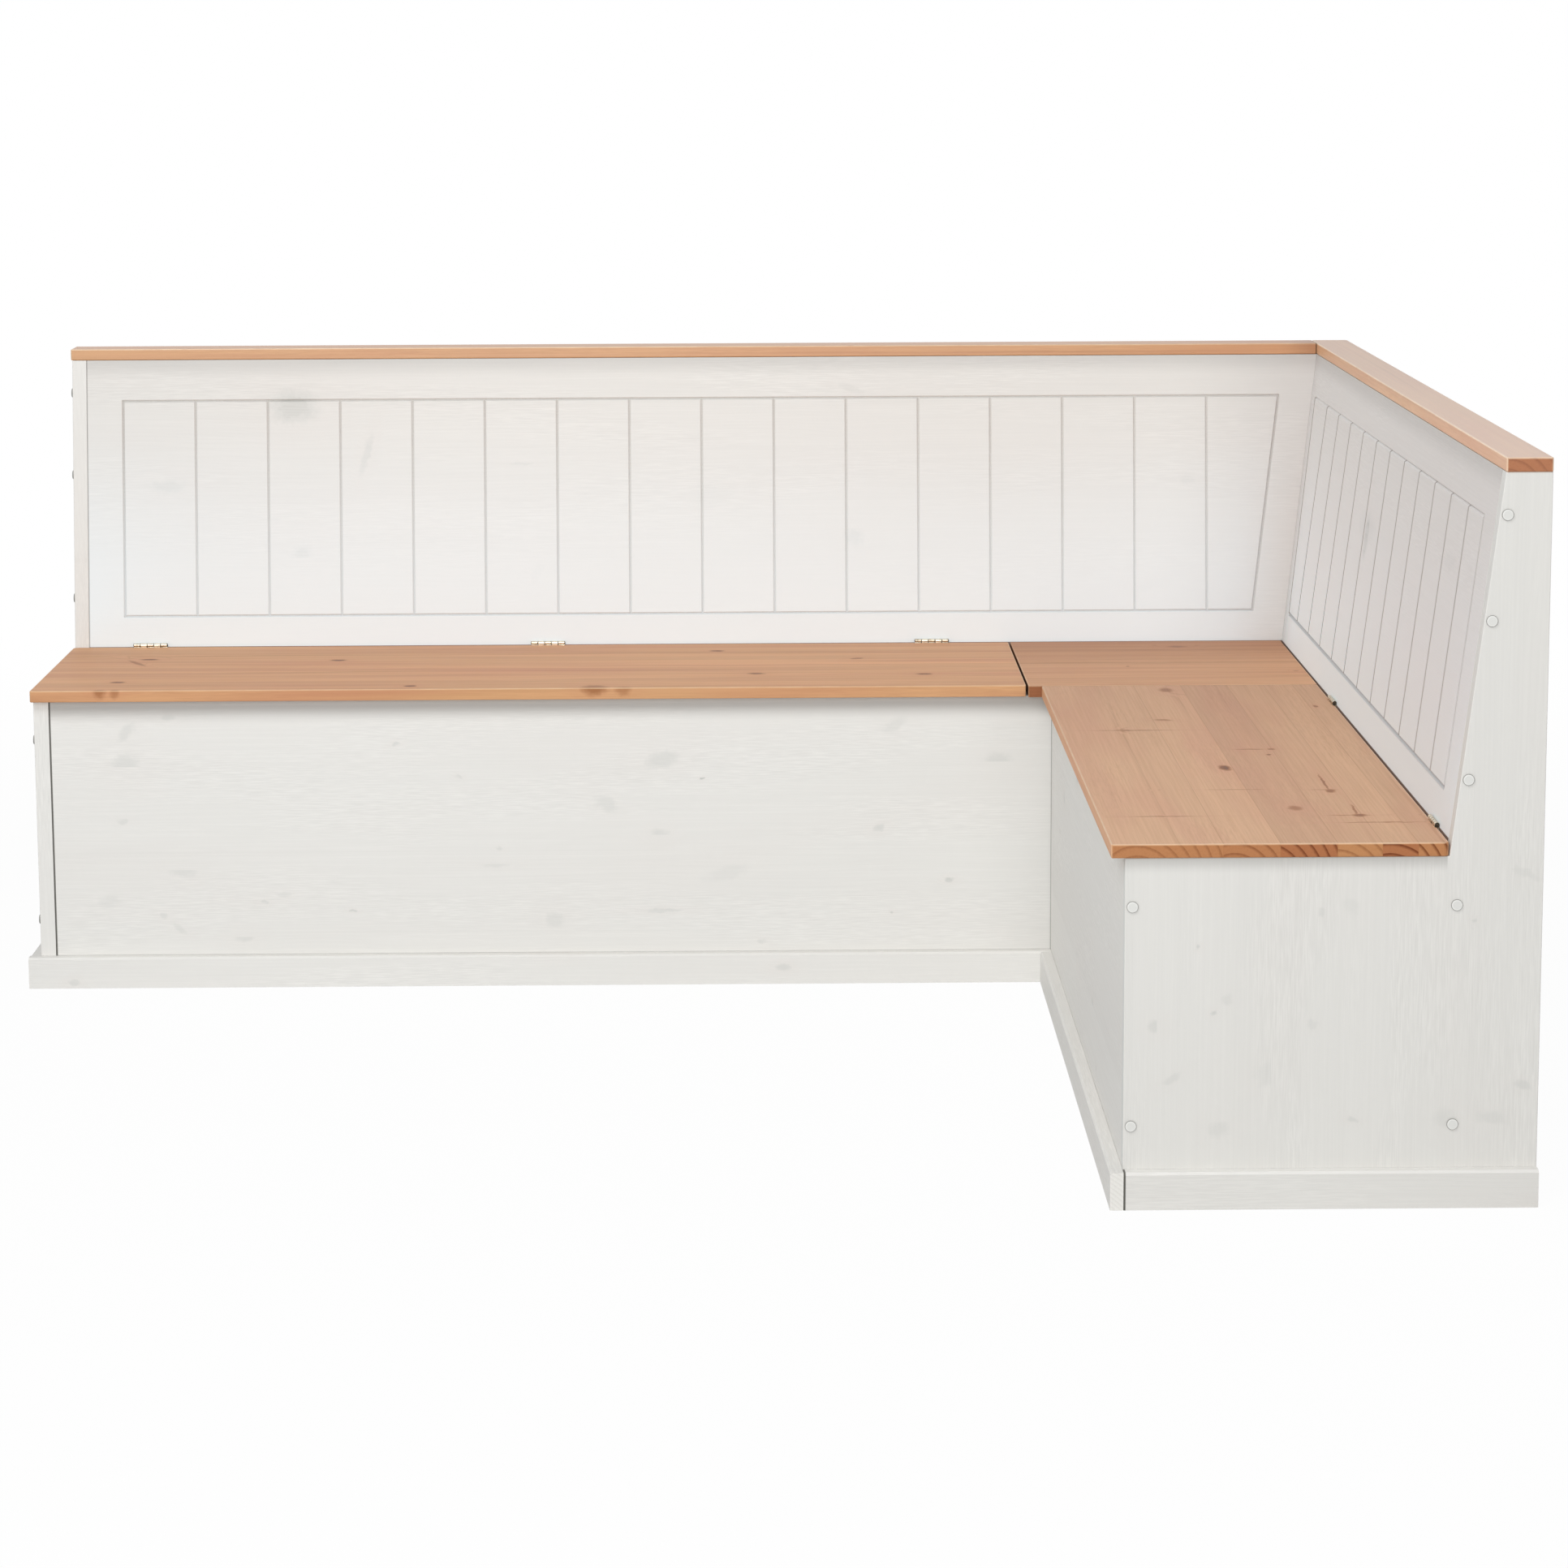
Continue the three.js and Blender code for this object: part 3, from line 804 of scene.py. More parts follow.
    def _wood(self, cell: Value, late: Shade, blotch: Shade, fine: Shade) -> Shade:
        """Colour of the long grain without its knots.

        Args:
            cell: Number of the stave.
            late: How much late wood shows.
            blotch: Clouds of warmer wood.
            fine: The fibres.

        Returns:
            The colour.
        """
        finish, recipe = self.finish, self.recipe
        tone = recipe.chances(recipe.vector(cell, self.seed, GRAIN.tone_seed))[0] - 0.5
        shift = cell * GRAIN.band_shift
        band = self._pattern(GRAIN.band, shift)
        shown = self._pattern(GRAIN.band, shift, scale=GRAIN.patch_scale, detail=1.0)
        ribbon = self._pattern((GRAIN.ribbon, self.ribbons), cell * GRAIN.ribbon_shift) * self.ribbon_more
        rings = late * shown.rise(*finish.ring_patch) * finish.ring_show + fine + GRAIN.late_least
        colour = recipe.mix(rings, finish.early, finish.late)
        rosy = (blotch + GRAIN.blotch_shift) * GRAIN.blotch_gain * finish.blotch_show
        rosy = rosy + ribbon * finish.ribbon_show * GRAIN.ribbon_warmth
        colour = recipe.mix(rosy, colour, finish.warm)
        bright = tone * finish.tone_show * GRAIN.tone_gain + band * finish.band_show + 1.0
        bright = bright - fine.least(0.0) * GRAIN.fine_bright - ribbon * finish.ribbon_show
        return recipe.mix(1.0, colour, recipe.vector(bright, bright, bright), "MULTIPLY")

    def _end_grain(self, cell: Value, late: Shade, streak: Shade) -> Shade:
        """Colour of the cut ends, a little different from stave to stave.

        Args:
            cell: Number of the stave.
            late: How much late wood shows.
            streak: The fine streaks.

        Returns:
            The colour.
        """
        finish, recipe = self.finish, self.recipe
        one, two, _ = recipe.chances(recipe.vector(cell, self.seed, GRAIN.end_seed))
        more, least = GRAIN.end_chance
        rings = late * (one * more + least) * finish.end_ring_show
        colour = recipe.mix(rings + streak * GRAIN.end_streak, finish.end, finish.end_late)
        level = (two - 0.5) * finish.end_tone_show + 1.0
        toned = recipe.vector(level, level * level, level * level)
        return recipe.mix(1.0, colour, toned, "MULTIPLY")

    def material(self) -> bpy.types.Material:
        """Builds the node tree of the finish.

        Returns:
            The material of the board.
        """
        finish, recipe, mix = self.finish, self.recipe, self.recipe.mix
        cell, local, line = self._staves()
        inside, near = self._chosen_knots() if self.knots else self._scattered_knots(cell, local)
        late = self._rings(cell, local, near)
        streak, dash = self._fibres()
        blotch = self._pattern(GRAIN.blotch, detail=3.0)
        fine = streak * finish.streak_show + dash * finish.dash_show
        colour = self._wood(cell, late, blotch, fine)
        colour = mix(near * GRAIN.halo_show * finish.knot_show, colour, finish.warm)
        more, least = GRAIN.heart_rings
        hearted = inside.rise(*GRAIN.heart_span) * (late * more + least)
        heart = mix(hearted, finish.knot, finish.knot_heart)
        colour = mix(inside * finish.knot_show, colour, heart)
        ends = self._looks(0)
        colour = mix(ends * finish.end_show, colour, self._end_grain(cell, late, streak))
        if isinstance(line, Shade):
            colour = mix(line * finish.joint_show, colour, finish.late)
        # Wear on the upper edges, with a painted highlight along them.
        scale, least = GRAIN.arris_wear_and_highlight
        worn_and_highlit = self._arrises() * (recipe.noise(self.place, scale, detail=3.0) + least)
        colour = mix(worn_and_highlit * finish.arris_show, colour, finish.arris)
        # Broad faces take the board's tint, on some boards painted shade and on the short lid a painted
        # sheen.
        tinted = self._looks(2) * (1.0 - inside * (1.0 - finish.tinted_knots))
        colour = mix(tinted, colour, self.tint, "MULTIPLY")
        # Side faces take a tint of their own: painted light and shade.
        if self.side_light_tint is not None:
            colour = mix(self._looks(1), colour, self.side_light_tint, "MULTIPLY")
        # Painted sheen on faces that look up.
        if self.top_sheen:
            upward = recipe.parts(recipe.facing())[2].rise(*GRAIN.sheen_span)
            sheen = upward * (streak * GRAIN.sheen_streak + 1.0) * self.top_sheen
            colour = mix(sheen, colour, SHEEN_COLOUR)
        # Painted shade, the painted light and shade of the board's place, and the joints' painted shadow.
        colour = self._seams(self._painted_light(self._glooms(colour)))
        of_streak, of_dash, of_late, of_knot = GRAIN.heights
        height = streak * of_streak + dash * of_dash - late * of_late - inside * of_knot
        of_streak, of_knot, of_end = GRAIN.roughs
        rough = streak * of_streak + finish.roughness - inside * of_knot + ends * of_end
        relief = recipe.relief(height, GRAIN.relief_depth, finish.relief_strength)
        inputs = {"Base Color": colour, "Roughness": rough, "Normal": relief}
        return recipe.finish({**inputs, "Specular IOR Level": finish.gloss})


@dataclass
class BackrestBoard(Board):
    """A leaning backrest panel.

    Its front carries painted light and shade: it is paler low down, darker near the corner, in its grooves
    and under the rail, and dark brown in the joint behind the seat, as the gap's painted shadow. Where
    lip_show isn't 0, the far sides of its grooves are drawn as well in painted shade, and the panel gets
    painted light and shade along its length.
    """

    rail_width: float = 0.055
    lean: float = math.radians(7.1)
    front_span: Pair = (-0.4, 0.3)
    seat_top: float = 0.443
    # Painted shade in the grooves and along the lines of planks.
    groove_shade_colour: Colour = paint(150, 142, 138)
    groove_show: float = 0.2
    groove_start: Pair = (0.0003, 0.0012)
    groove_end: Pair = (0.004, 0.0045)
    groove_foot: Pair = (0.45, 0.455)
    lip_show: float = 0.0
    lip_half: float = 0.00225
    lip_soft: float = 2.2
    foot_shares: Pair = (0.8, 1.8)
    foot_show: float = 0.45
    foot_end: float = 0.003
    plank_line: float = 0.594303
    plank: float = 0.121
    plank_ends: Pair = (0.49, 0.82)
    plank_span: Pair = (-0.65, 0.62)
    border_inset: float = 0.038
    near_line: float = -0.71785
    near_line_show: float = 0.7
    # Painted light and shade along the panel and low down.
    near_light_tint: Colour = WHITE
    far_light_tint: Colour = WHITE
    light_tint_span: Pair = (-0.8, 0.6)
    low_light_tint: Colour = WHITE
    low_light_span: Pair = (0.46, 0.62)
    # Painted shade near the corner.
    corner_shade_show: float = 0.45
    corner_shade_span: Pair = (-0.1, 0.24)
    corner_shade_colour: Colour = paint(158, 148, 148)
    # How far from the corner the painted light low down starts.
    low_light_corner: Pair = (-0.02, 0.1)
    # Painted shade along the foot of the planks.
    foot_shade_colour: Colour = paint(118, 104, 98)
    shade_drop: float = 0.034
    shade_show: float = 0.3
    # Painted light: the panel is paler and cooler low down, above the seat.
    low_light_colour: Colour = paint(242, 251, 255)
    low_light_show: float = 0.9
    low_light_rise: float = 0.42
    # Painted shadow of the gap behind the seat, dark brown.
    gap_shade_colour: Colour = paint(112, 76, 56)
    gap_shade_show: float = 0.9
    gap_shade_drops: Pair = (0.014, 0.008)
    gap_shade_soft: float = 0.0003

    def _lips(self, colour: Shade, front: Shade, from_mitre: Shade) -> Shade:
        """Draws the lines of planks and borders in painted shade, and paints light and shade along the
        panel's length and low down.

        Args:
            colour: The glaze so far.
            front: Where the panel's front is.
            from_mitre: How far a point is from the mitre in the corner.

        Returns:
            The glaze with its painted lines, light and shade.
        """
        mix = self.recipe.mix
        lip = (self.lip_half, self.lip_half * self.lip_soft)
        run = (self.along - self.plank_line) / self.plank + 0.5
        away = abs(run.part() - 0.5) * self.plank
        planks = self.across.within(*self.plank_ends)
        lines = away.fall(*lip) * self.along.within(*self.plank_span)
        border = abs(from_mitre - self.border_inset).fall(*lip)
        near_line = abs(self.along - self.near_line).fall(*lip)
        lines = lines.most(border).most(near_line * self.near_line_show)
        foot = (self.lip_half * share for share in self.foot_shares)
        below = abs(self.across - self.plank_ends[0]).fall(*foot)
        below = below * self.along.rise(self.near_line - self.foot_end, self.near_line)
        below = below * from_mitre.rise(self.border_inset - self.foot_end, self.border_inset)
        # Painted light and shade along the panel's length and low down, then painted shade in the groove
        # lines and along the foot.
        tint = mix(self.along.rise(*self.light_tint_span), self.near_light_tint, self.far_light_tint)
        colour = mix(front, colour, tint, "MULTIPLY")
        colour = mix(front * self.across.fall(*self.low_light_span), colour, self.low_light_tint, "MULTIPLY")
        colour = mix(lines * planks * front * self.lip_show, colour, self.groove_shade_colour)
        return mix(below * front * self.foot_show, colour, self.foot_shade_colour)

    def _painted_light(self, colour: Shade) -> Shade:
        """Adds the painted light and shade of the panel's own place.

        Args:
            colour: The glaze so far.

        Returns:
            The glaze with its painted light and shade.
            The glaze with its marks.
        """
        mix = self.recipe.mix
        along, _, index = (AXES.index(axis) for axis in self.lay.value)
        top_rail = self.node.replace("backrest_panel", "top_rail")
        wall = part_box(top_rail)[1][index]
        under_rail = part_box(top_rail)[0].z
        front = self.recipe.parts(self.recipe.facing())[index].fall(*self.front_span)
        leaning = (self.across - under_rail) * math.tan(self.lean) - self.rail_width
        depth = self.through - (leaning + wall)
        corner = max(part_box(rail)[1][along] for rail in ("long_top_rail", "short_top_rail"))
        from_mitre = leaning + corner - self.along
        above_joint = self.across.rise(*(self.seat_top - drop for drop in self.gap_shade_drops))
        # Painted light low down, held back near the corner and in the joint.
        low = self.across.fall(self.seat_top, self.seat_top + self.low_light_rise) * front
        low = low * from_mitre.rise(*self.low_light_corner) * above_joint
        colour = mix(low * self.low_light_show, colour, self.low_light_colour)
        # Painted shade near the mitre in the corner.
        corner_shade = from_mitre.fall(*self.corner_shade_span) * front * self.corner_shade_show
        colour = mix(corner_shade, colour, self.corner_shade_colour)
        # Painted shade in the grooves.
        groove_shade = depth.rise(*self.groove_start) * depth.fall(*self.groove_end)
        groove_shade = groove_shade * self.across.rise(*self.groove_foot)
        colour = mix(groove_shade * self.groove_show, colour, self.groove_shade_colour)
        if self.lip_show:
            colour = self._lips(colour, front, from_mitre)
        shade = self.across.rise(under_rail - self.shade_drop, under_rail) * front
        colour = mix(shade * self.shade_show, colour, GLOOM_COLOUR)
        # Painted shadow in the joint behind the seat.
        gap_shade = self.across.fall(self.seat_top, self.seat_top + self.gap_shade_soft) * above_joint
        return mix(gap_shade * front * self.gap_shade_show, colour, self.gap_shade_colour)


@dataclass(frozen=True)
class Brass:
    """Plated brass with fine brush marks, duller in clouds, with painted shade between a hinge's knuckles."""

    bright: Colour = paint(224, 214, 192)
    dull: Colour = paint(118, 104, 78)
    gap_shade: Colour = paint(34, 26, 18)
    knuckles: int = 5
    brush: Pair = (90.0, 1400.0)
    cloud: float = 160.0
    cloud_span: Pair = (-0.05, 0.3)
    dull_show: float = 0.7
    barrel_drops: Pair = (0.0062, 0.0056)
    gap_shade_span: Pair = (0.42, 0.45)
    gap_shade_show: float = 0.9
    roughness: float = 0.3
    rougher: float = 0.2
    relief_depth: float = 0.00005
    relief_strength: float = 0.4

    def material(self, node: Optional[str] = None) -> bpy.types.Material:
        """Builds the material of a hinge's node or, without one, of the screws.

        Args:
            node: Name of a leaf or pin, whose knuckles get painted shade in their joints.

        Returns:
            The material.
        """
        recipe = Recipe(bpy.data.materials.new(f"plated brass {node or 'screws'}"))
        place = recipe.place()
        x, y, z = recipe.parts(place)
        level, upright = self.brush
        brushed = recipe.noise(recipe.vector(x * level, y * level, z * upright))
        dull = recipe.noise(place, self.cloud, detail=3.0).rise(*self.cloud_span) * self.dull_show
        colour = recipe.mix(dull, self.bright, self.dull)
        if node:
            low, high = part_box(node)
            size = high - low
            run, start, length = (x, low.x, size.x) if size.x > size.y else (y, low.y, size.y)
            # Painted shade in the gaps between the knuckles.
            barrel = z.rise(*(high.z - drop for drop in self.barrel_drops))
            joint = abs(((run - start) / (length / self.knuckles)).part() - 0.5).rise(*self.gap_shade_span)
            colour = recipe.mix(barrel * joint * self.gap_shade_show, colour, self.gap_shade)
        rough = brushed * self.rougher + dull * self.rougher + self.roughness
        relief = recipe.relief(brushed, self.relief_depth, self.relief_strength)
        return recipe.finish({"Base Color": colour, "Metallic": 1.0, "Roughness": rough, "Normal": relief})


@dataclass(frozen=True)
class CapPlastic:
    """Moulded white plastic with a fine dull texture.

    A paler ring near its edge is wear with a painted highlight, and a dark ring round its foot is painted
    shadow.
    """

    white: Colour = paint(219, 219, 215)
    grey: Colour = paint(206, 206, 201)
    worn_and_highlit: Colour = paint(232, 232, 228)
    foot_shadow: Colour = paint(112, 111, 106)
    grit: float = 2200.0
    cloud: float = 60.0
    cloud_span: Pair = (0.0, 0.4)
    cloud_show: float = 0.4
    worn_and_highlit_span: Pair = (0.66, 0.76)
    worn_and_highlit_show: float = 0.7
    foot_shadow_span: Pair = (0.86, 0.97)
    foot_shadow_show: float = 0.8
    roughness: float = 0.42
    rougher: float = 0.2
    relief_depth: float = 0.00006
    relief_strength: float = 0.5

    def material(self, node: str) -> bpy.types.Material:
        """Builds the material of one screw cap.

        Args:
            node: Name of the cap.

        Returns:
            Its material.
        """
        low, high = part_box(node)
        radius = (high.z - low.z) / 2
        recipe = Recipe(bpy.data.materials.new(f"cap plastic {node}"))
        place = recipe.place()
        grit = recipe.noise(place, self.grit)
        cloud = recipe.noise(place, self.cloud).rise(*self.cloud_span)
        away = recipe.vectors("DISTANCE", place, tuple((low + high) / 2), output="Value") / radius
        colour = recipe.mix(cloud * self.cloud_show, self.white, self.grey)
        # A paler ring that is wear with a painted highlight, and a painted shadow round the foot.
        colour = recipe.mix(away.rise(*self.worn_and_highlit_span) * self.worn_and_highlit_show, colour, self.worn_and_highlit)
        colour = recipe.mix(away.rise(*self.foot_shadow_span) * self.foot_shadow_show, colour, self.foot_shadow)
        rough = grit * self.rougher + self.roughness
        relief = recipe.relief(grit, self.relief_depth, self.relief_strength)
        return recipe.finish({"Base Color": colour, "Roughness": rough, "Normal": relief})


# ---------------------------------- the bench


def wear(node: str, material: bpy.types.Material) -> None:
    """Puts a material on a node of the frame, in place of the plain one.

    Args:
        node: Name of the node.
        material: What it is dressed in.
    """
    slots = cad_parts[node].data.materials
    slots.clear()
    slots.append(material)
    log.info("%s dressed in %s", node, material.name)


def dress_boards(boards: Sequence[Board], first_seed: float, seed_step: float) -> None:
    """Dresses boards, each with a pattern of its own.

    Args:
        boards: The boards in order.
        first_seed: Seed of the first one.
        seed_step: How far the seeds are apart.
    """
    for number, board in enumerate(boards):
        board.seed = first_seed + seed_step * number
        wear(board.node, board.material())


@dataclass
class Backrest:
    """The leaning backrest panels with their milled grooves."""

    long_knots: Knots = knot_rows(
        (166, 851, 80, 58, 0, 85), (64, 598, 56, 21, 0, 65), (172, 370, 37, 49, 0, 95, 1),
        (224, 694, 68, 14, 76, 70), (360, 312, 37, 16, 68, 45), (350, 666, 35, 5, 0, 45),
        (503, 564, 74, 43, 0, 27), (617, 425, 32, 32, 0, 81), (886, 605, 27, 15, 0, 36),
        (851, 261, 49, 18, 25, 36), (615, 898, 49, 12, -20, 36),
    )
    short_knots: Knots = knot_rows(
        (553, 597, 39, 68, 0, 130), (553, 620, 160, 46, 0, 50), (705, 222, 90, 38, 0, 70),
        (152, 706, 95, 22, 0, 40),
    )
    # Painted light and shade on the short panel: darker at its near end, paler and cooler at its far end and
    # low down.
    near_light_tint: Colour = (0.93, 0.915, 0.935, 1.0)
    far_light_tint: Colour = (1.075, 1.095, 1.13, 1.0)
    low_light_tint: Colour = (1.0, 1.05, 1.06, 1.0)
    low_light_colour: Colour = paint(250, 254, 255)
    # A dark joint line at the left end, the painted shadow of the gap, and painted shade towards that end.
    seams: Seams = (Seam("X", False, 0.0013, 0.4),)
    glooms: Glooms = (Gloom("X", False, 0.7, 0.075, colour=paint(150, 138, 132)),)
    seeds: Pair = (11.0, 1.0)

    def dress(self) -> None:
        """Gives both panels their glazed pine."""
        boards = (
            BackrestBoard(
                "long_backrest_panel", GLAZED, Lay.PANEL_X,
                knots=self.long_knots, seams=self.seams, glooms=self.glooms,
            ),
            BackrestBoard(
                "short_backrest_panel", GLAZED, Lay.PANEL_Y, knots=self.short_knots,
                near_light_tint=self.near_light_tint, far_light_tint=self.far_light_tint, low_light_tint=self.low_light_tint,
                corner_shade_show=0.2, corner_shade_span=(-0.03, 0.06), groove_show=0.1, lip_show=0.75,
                shade_show=0.34, low_light_colour=self.low_light_colour, low_light_show=1.0,
            ),
        )
        dress_boards(boards, *self.seeds)


@dataclass
class Case:
    """The glazed boards of the two boxes: cheeks, fronts, walls, partitions and plinths."""

    # The right cheek and its plinth are darkened, and the cheek's side faces tinted: painted shade.
    right_shade_tint: Colour = (0.87, 0.868, 0.862, 1.0)
    right_side_tint: Colour = (0.93, 0.95, 0.96, 1.0)
    front_knots: Knots = knot_rows(
        (75, 888, 40, 17, 52, 52), (73, 768, 42, 41, 0, 60, 1), (117, 941, 25, 11, 0, 52),
        (70, 578, 17, 9, 0, 52), (128, 406, 46, 23, 0, 45, -1), (54, 297, 35, 21, 10, 30),
        (107, 247, 16, 9, 0, 52), (122, 199, 27, 9, -30, 45), (187, 169, 30, 16, 0, 52, -1),
        (207, 291, 13, 6, 0, 60), (226, 319, 22, 7, 0, 38), (295, 260, 12, 4, 0, 83),
        (340, 843, 12, 7, 20, 68), (402, 727, 11, 7, 0, 52), (437, 420, 41, 9, 0, 38, -1),
        (441, 477, 10, 7, 0, 52), (495, 222, 26, 29, 60, 45), (603, 781, 52, 26, 12, 60),
        (547, 629, 42, 24, -25, 45), (600, 520, 28, 20, 0, 52, 1), (642, 719, 5, 3, 0, 98),
        (817, 538, 19, 12, 15, 68), (666, 384, 75, 22, 14, 26), (887, 355, 15, 7, 0, 83),
        (935, 769, 45, 29, 0, 60, 1), (832, 897, 42, 19, 30, 38), (602, 253, 57, 7, 0, 60),
        (701, 142, 16, 9, -20, 52), (830, 242, 6, 4, 0, 83),
    )
    cheek_knots: Knots = knot_rows(
        (250, 79, 17, 20, 0, 56, -1), (359, 178, 6, 5, 0, 77), (269, 215, 8, 8, 0, 77),
        (288, 246, 17, 13, 0, 35), (178, 116, 10, 29, -30, 42), (107, 229, 21, 29, 0, 35),
        (184, 355, 33, 47, 0, 28, -1), (120, 551, 9, 16, 15, 56), (252, 454, 12, 13, 0, 35),
        (405, 471, 11, 7, 0, 42), (414, 541, 26, 19, -40, 24), (392, 835, 7, 8, 0, 63),
        (166, 961, 12, 25, 18, 49), (120, 776, 27, 29, 0, 32), (120, 887, 17, 42, 12, 32),
        (458, 958, 13, 39, 20, 35),
    )
    # Dark joint lines at both ends and above the plinth: painted shadow of the gaps.
    front_seams: Seams = (
        Seam("X", False, 0.0026, 0.9),
        Seam("X", True, 0.0012, 0.4, 0.0181),
        Seam("Z", False, 0.0007, 0.25, 0.0462),
    )
    # Painted shade under the lid's overhang and towards the inner corner.
    front_glooms: Glooms = (
        Gloom("Z", True, 0.038, 0.62, full=0.011),
        Gloom("X", True, 0.17, 0.17),
    )
    # Painted shade under the short lid.
    cheek_glooms: Glooms = (
        Gloom("Z", True, 0.022, 0.5, level=0.4257, within=("X", 0.885)),
    )
    # Dark joint lines at the inner corner and the plinths' joint: painted shadow of the gaps.
    corner_seams: Seams = (Seam("Y", True, 0.0016, 0.3),)
    end_seams: Seams = (Seam("X", False, 0.0027, 0.95),)
    seeds: Pair = (21.0, 3.0)

    def dress(self) -> None:
        """Gives each board glazed pine with its grain the way that the board was cut."""
        front = {"knots": self.front_knots, "seams": self.front_seams, "glooms": self.front_glooms}
        right = {"tint": self.right_shade_tint}
        cheek = {"knots": self.cheek_knots, "side_light_tint": self.right_side_tint, "glooms": self.cheek_glooms}
        rows = (
            ("long_front_panel", Lay.PANEL_X, True, front),
            ("short_front_panel", Lay.PANEL_Y, True, {"seams": self.corner_seams}),
            ("long_back_wall", Lay.PANEL_X, True, {}),
            ("short_back_wall", Lay.PANEL_Y, True, {}),
            ("left_end_panel", Lay.UPRIGHT_Y, True, {}),
            ("right_end_panel", Lay.UPRIGHT_X, True, {**right, **cheek}),
            ("left_partition", Lay.UPRIGHT_Y, True, {}),
            ("right_partition", Lay.UPRIGHT_X, True, {}),
            ("long_plinth", Lay.PANEL_X, False, {}),
            ("short_plinth", Lay.PANEL_Y, False, {}),
            ("left_end_plinth", Lay.PANEL_Y, False, {}),
            ("right_end_plinth", Lay.PANEL_X, False, {**right, "seams": self.end_seams}),
        )
        boards = [Board(node, GLAZED, lay, glued, **more) for node, lay, glued, more in rows]
        dress_boards(boards, *self.seeds)


@dataclass
class Seats:
    """The oiled pine of the seats and cap rails, with the knots that stand out on them."""

    long_knots: Knots = knot_rows(
        (83, 615, 70, 10, -60, 70), (93, 700, 30, 16, 0, 110), (292, 657, 26, 15, 0, 130),
        (380, 63, 20, 14, 0, 130), (81, 180, 24, 15, 0, 100), (688, 829, 24, 14, 0, 110),
        (729, 295, 28, 18, 0, 90), (835, 630, 24, 14, 30, 70), (901, 263, 28, 18, 0, 90),
        (566, 10, 40, 40, 0, 70, 0, True), (595, 0, 26, 16, 0, 50, 0, True),
        (70, 0, 22, 20, 0, 60, 0, True), (85, 0, 16, 18, 0, 50, 0, True),
    )
    corner_knots: Knots = knot_rows(
        (603, 867, 32, 20, 0, 80), (383, 416, 6, 6, 0, 90), (965, 293, 12, 8, 0, 60)
    )
    short_knots: Knots = knot_rows(
        (964, 440, 40, 22, 0, 80), (744, 366, 16, 28, 20, 60), (674, 214, 18, 22, 0, 50),
        (674, 250, 5, 120, 0, 80), (427, 477, 40, 17, 0, 120), (544, 668, 12, 12, 0, 80),
        (508, 647, 12, 8, 0, 90), (544, 600, 5, 50, 0, 80), (836, 929, 18, 8, 0, 90),
        (285, 762, 26, 14, 0, 90), (333, 760, 120, 4, 0.5, 90), (292, 742, 5, 40, 0, 60),
        (189, 614, 32, 20, 0, 70), (147, 795, 18, 20, 0, 90), (147, 765, 5, 60, 0, 60),
        (178, 792, 70, 4, 2, 80), (296, 470, 4, 80, 0, 60), (147, 200, 5, 90, 0, 70),
        (108, 850, 5, 110, 0, 80),
    )
    short_joints: Tuple[float, ...] = (0.332, 0.501, 0.670, 0.803, 0.909)
    # The short lid is paler and cooler: a painted sheen.
    short_sheen_tint: Colour = (0.98, 1.09, 1.25, 1.0)
    corner_tint: Colour = (0.995, 0.99, 1.01, 1.0)
    # Side faces tinted apart from the tops: painted shade on the lids' edges, painted light and shade on the
    # rails' sides.
    long_side_tint: Colour = (0.92, 0.92, 0.87, 1.0)
    corner_side_tint: Colour = (0.5, 0.37, 0.3, 1.0)
    short_rail_tint: Colour = (1.2, 1.31, 1.4, 1.0)
    long_rail_tint: Colour = (0.95, 0.945, 0.85, 1.0)
    # A dark joint line at the rail's corner end: painted shadow of the gap.
    rail_seams: Seams = (Seam("X", True, 0.0014, 0.85),)
    # Painted shade in the gap between the long lid and the corner board.
    lid_glooms: Glooms = (Gloom("X", True, 0.0008, 0.9, colour=GAP_SHADE_COLOUR),)
    # Painted shade in that gap and towards the backrest.
    corner_glooms: Glooms = (
        Gloom("X", False, 0.0008, 0.9, colour=GAP_SHADE_COLOUR),
        Gloom("Y", True, 0.33, 0.51, colour=paint(150, 92, 60)),
    )
    # Painted shade on the short lid towards the corner.
    short_glooms: Glooms = (Gloom("Y", True, 0.7, 0.16, colour=paint(172, 112, 82)),)
    # Painted shade on the long rail towards the corner.
    rail_glooms: Glooms = (
        Gloom("X", True, 0.5, 0.19, colour=paint(180, 98, 30)),
        Gloom("X", True, 0.07, 0.35, colour=paint(110, 52, 22)),
    )
    seeds: Pair = (61.0, 5.0)

    def dress(self) -> None:
        """Gives the lids, the corner board and the rails their oiled pine."""
        boards = (
            Board(
                "long_seat_lid", OILED, Lay.SEAT_X, knots=self.long_knots, glooms=self.lid_glooms,
                side_light_tint=self.long_side_tint, ribbons=42.0, ribbon_more=2.0,
            ),
            Board(
                "corner_seat_board", OILED, Lay.SEAT_X, knots=self.corner_knots, glooms=self.corner_glooms,
                tint=self.corner_tint, side_light_tint=self.corner_side_tint, ribbons=60.0, ribbon_more=1.8,
            ),
            Board(
                "short_seat_lid", OILED, Lay.SEAT_Y, knots=self.short_knots, glooms=self.short_glooms,
                joints=self.short_joints, tint=self.short_sheen_tint, ribbons=34.0, ribbon_more=0.6,
            ),
            # The rails' tops get a painted sheen.
            Board(
                "long_top_rail", RAIL, Lay.SEAT_X, glued=False, seams=self.rail_seams,
                glooms=self.rail_glooms, side_light_tint=self.long_rail_tint, top_sheen=0.1,
            ),
            Board(
                "short_top_rail", RAIL, Lay.SEAT_Y, glued=False,
                side_light_tint=self.short_rail_tint, top_sheen=0.35,
            ),
        )
        dress_boards(boards, *self.seeds)


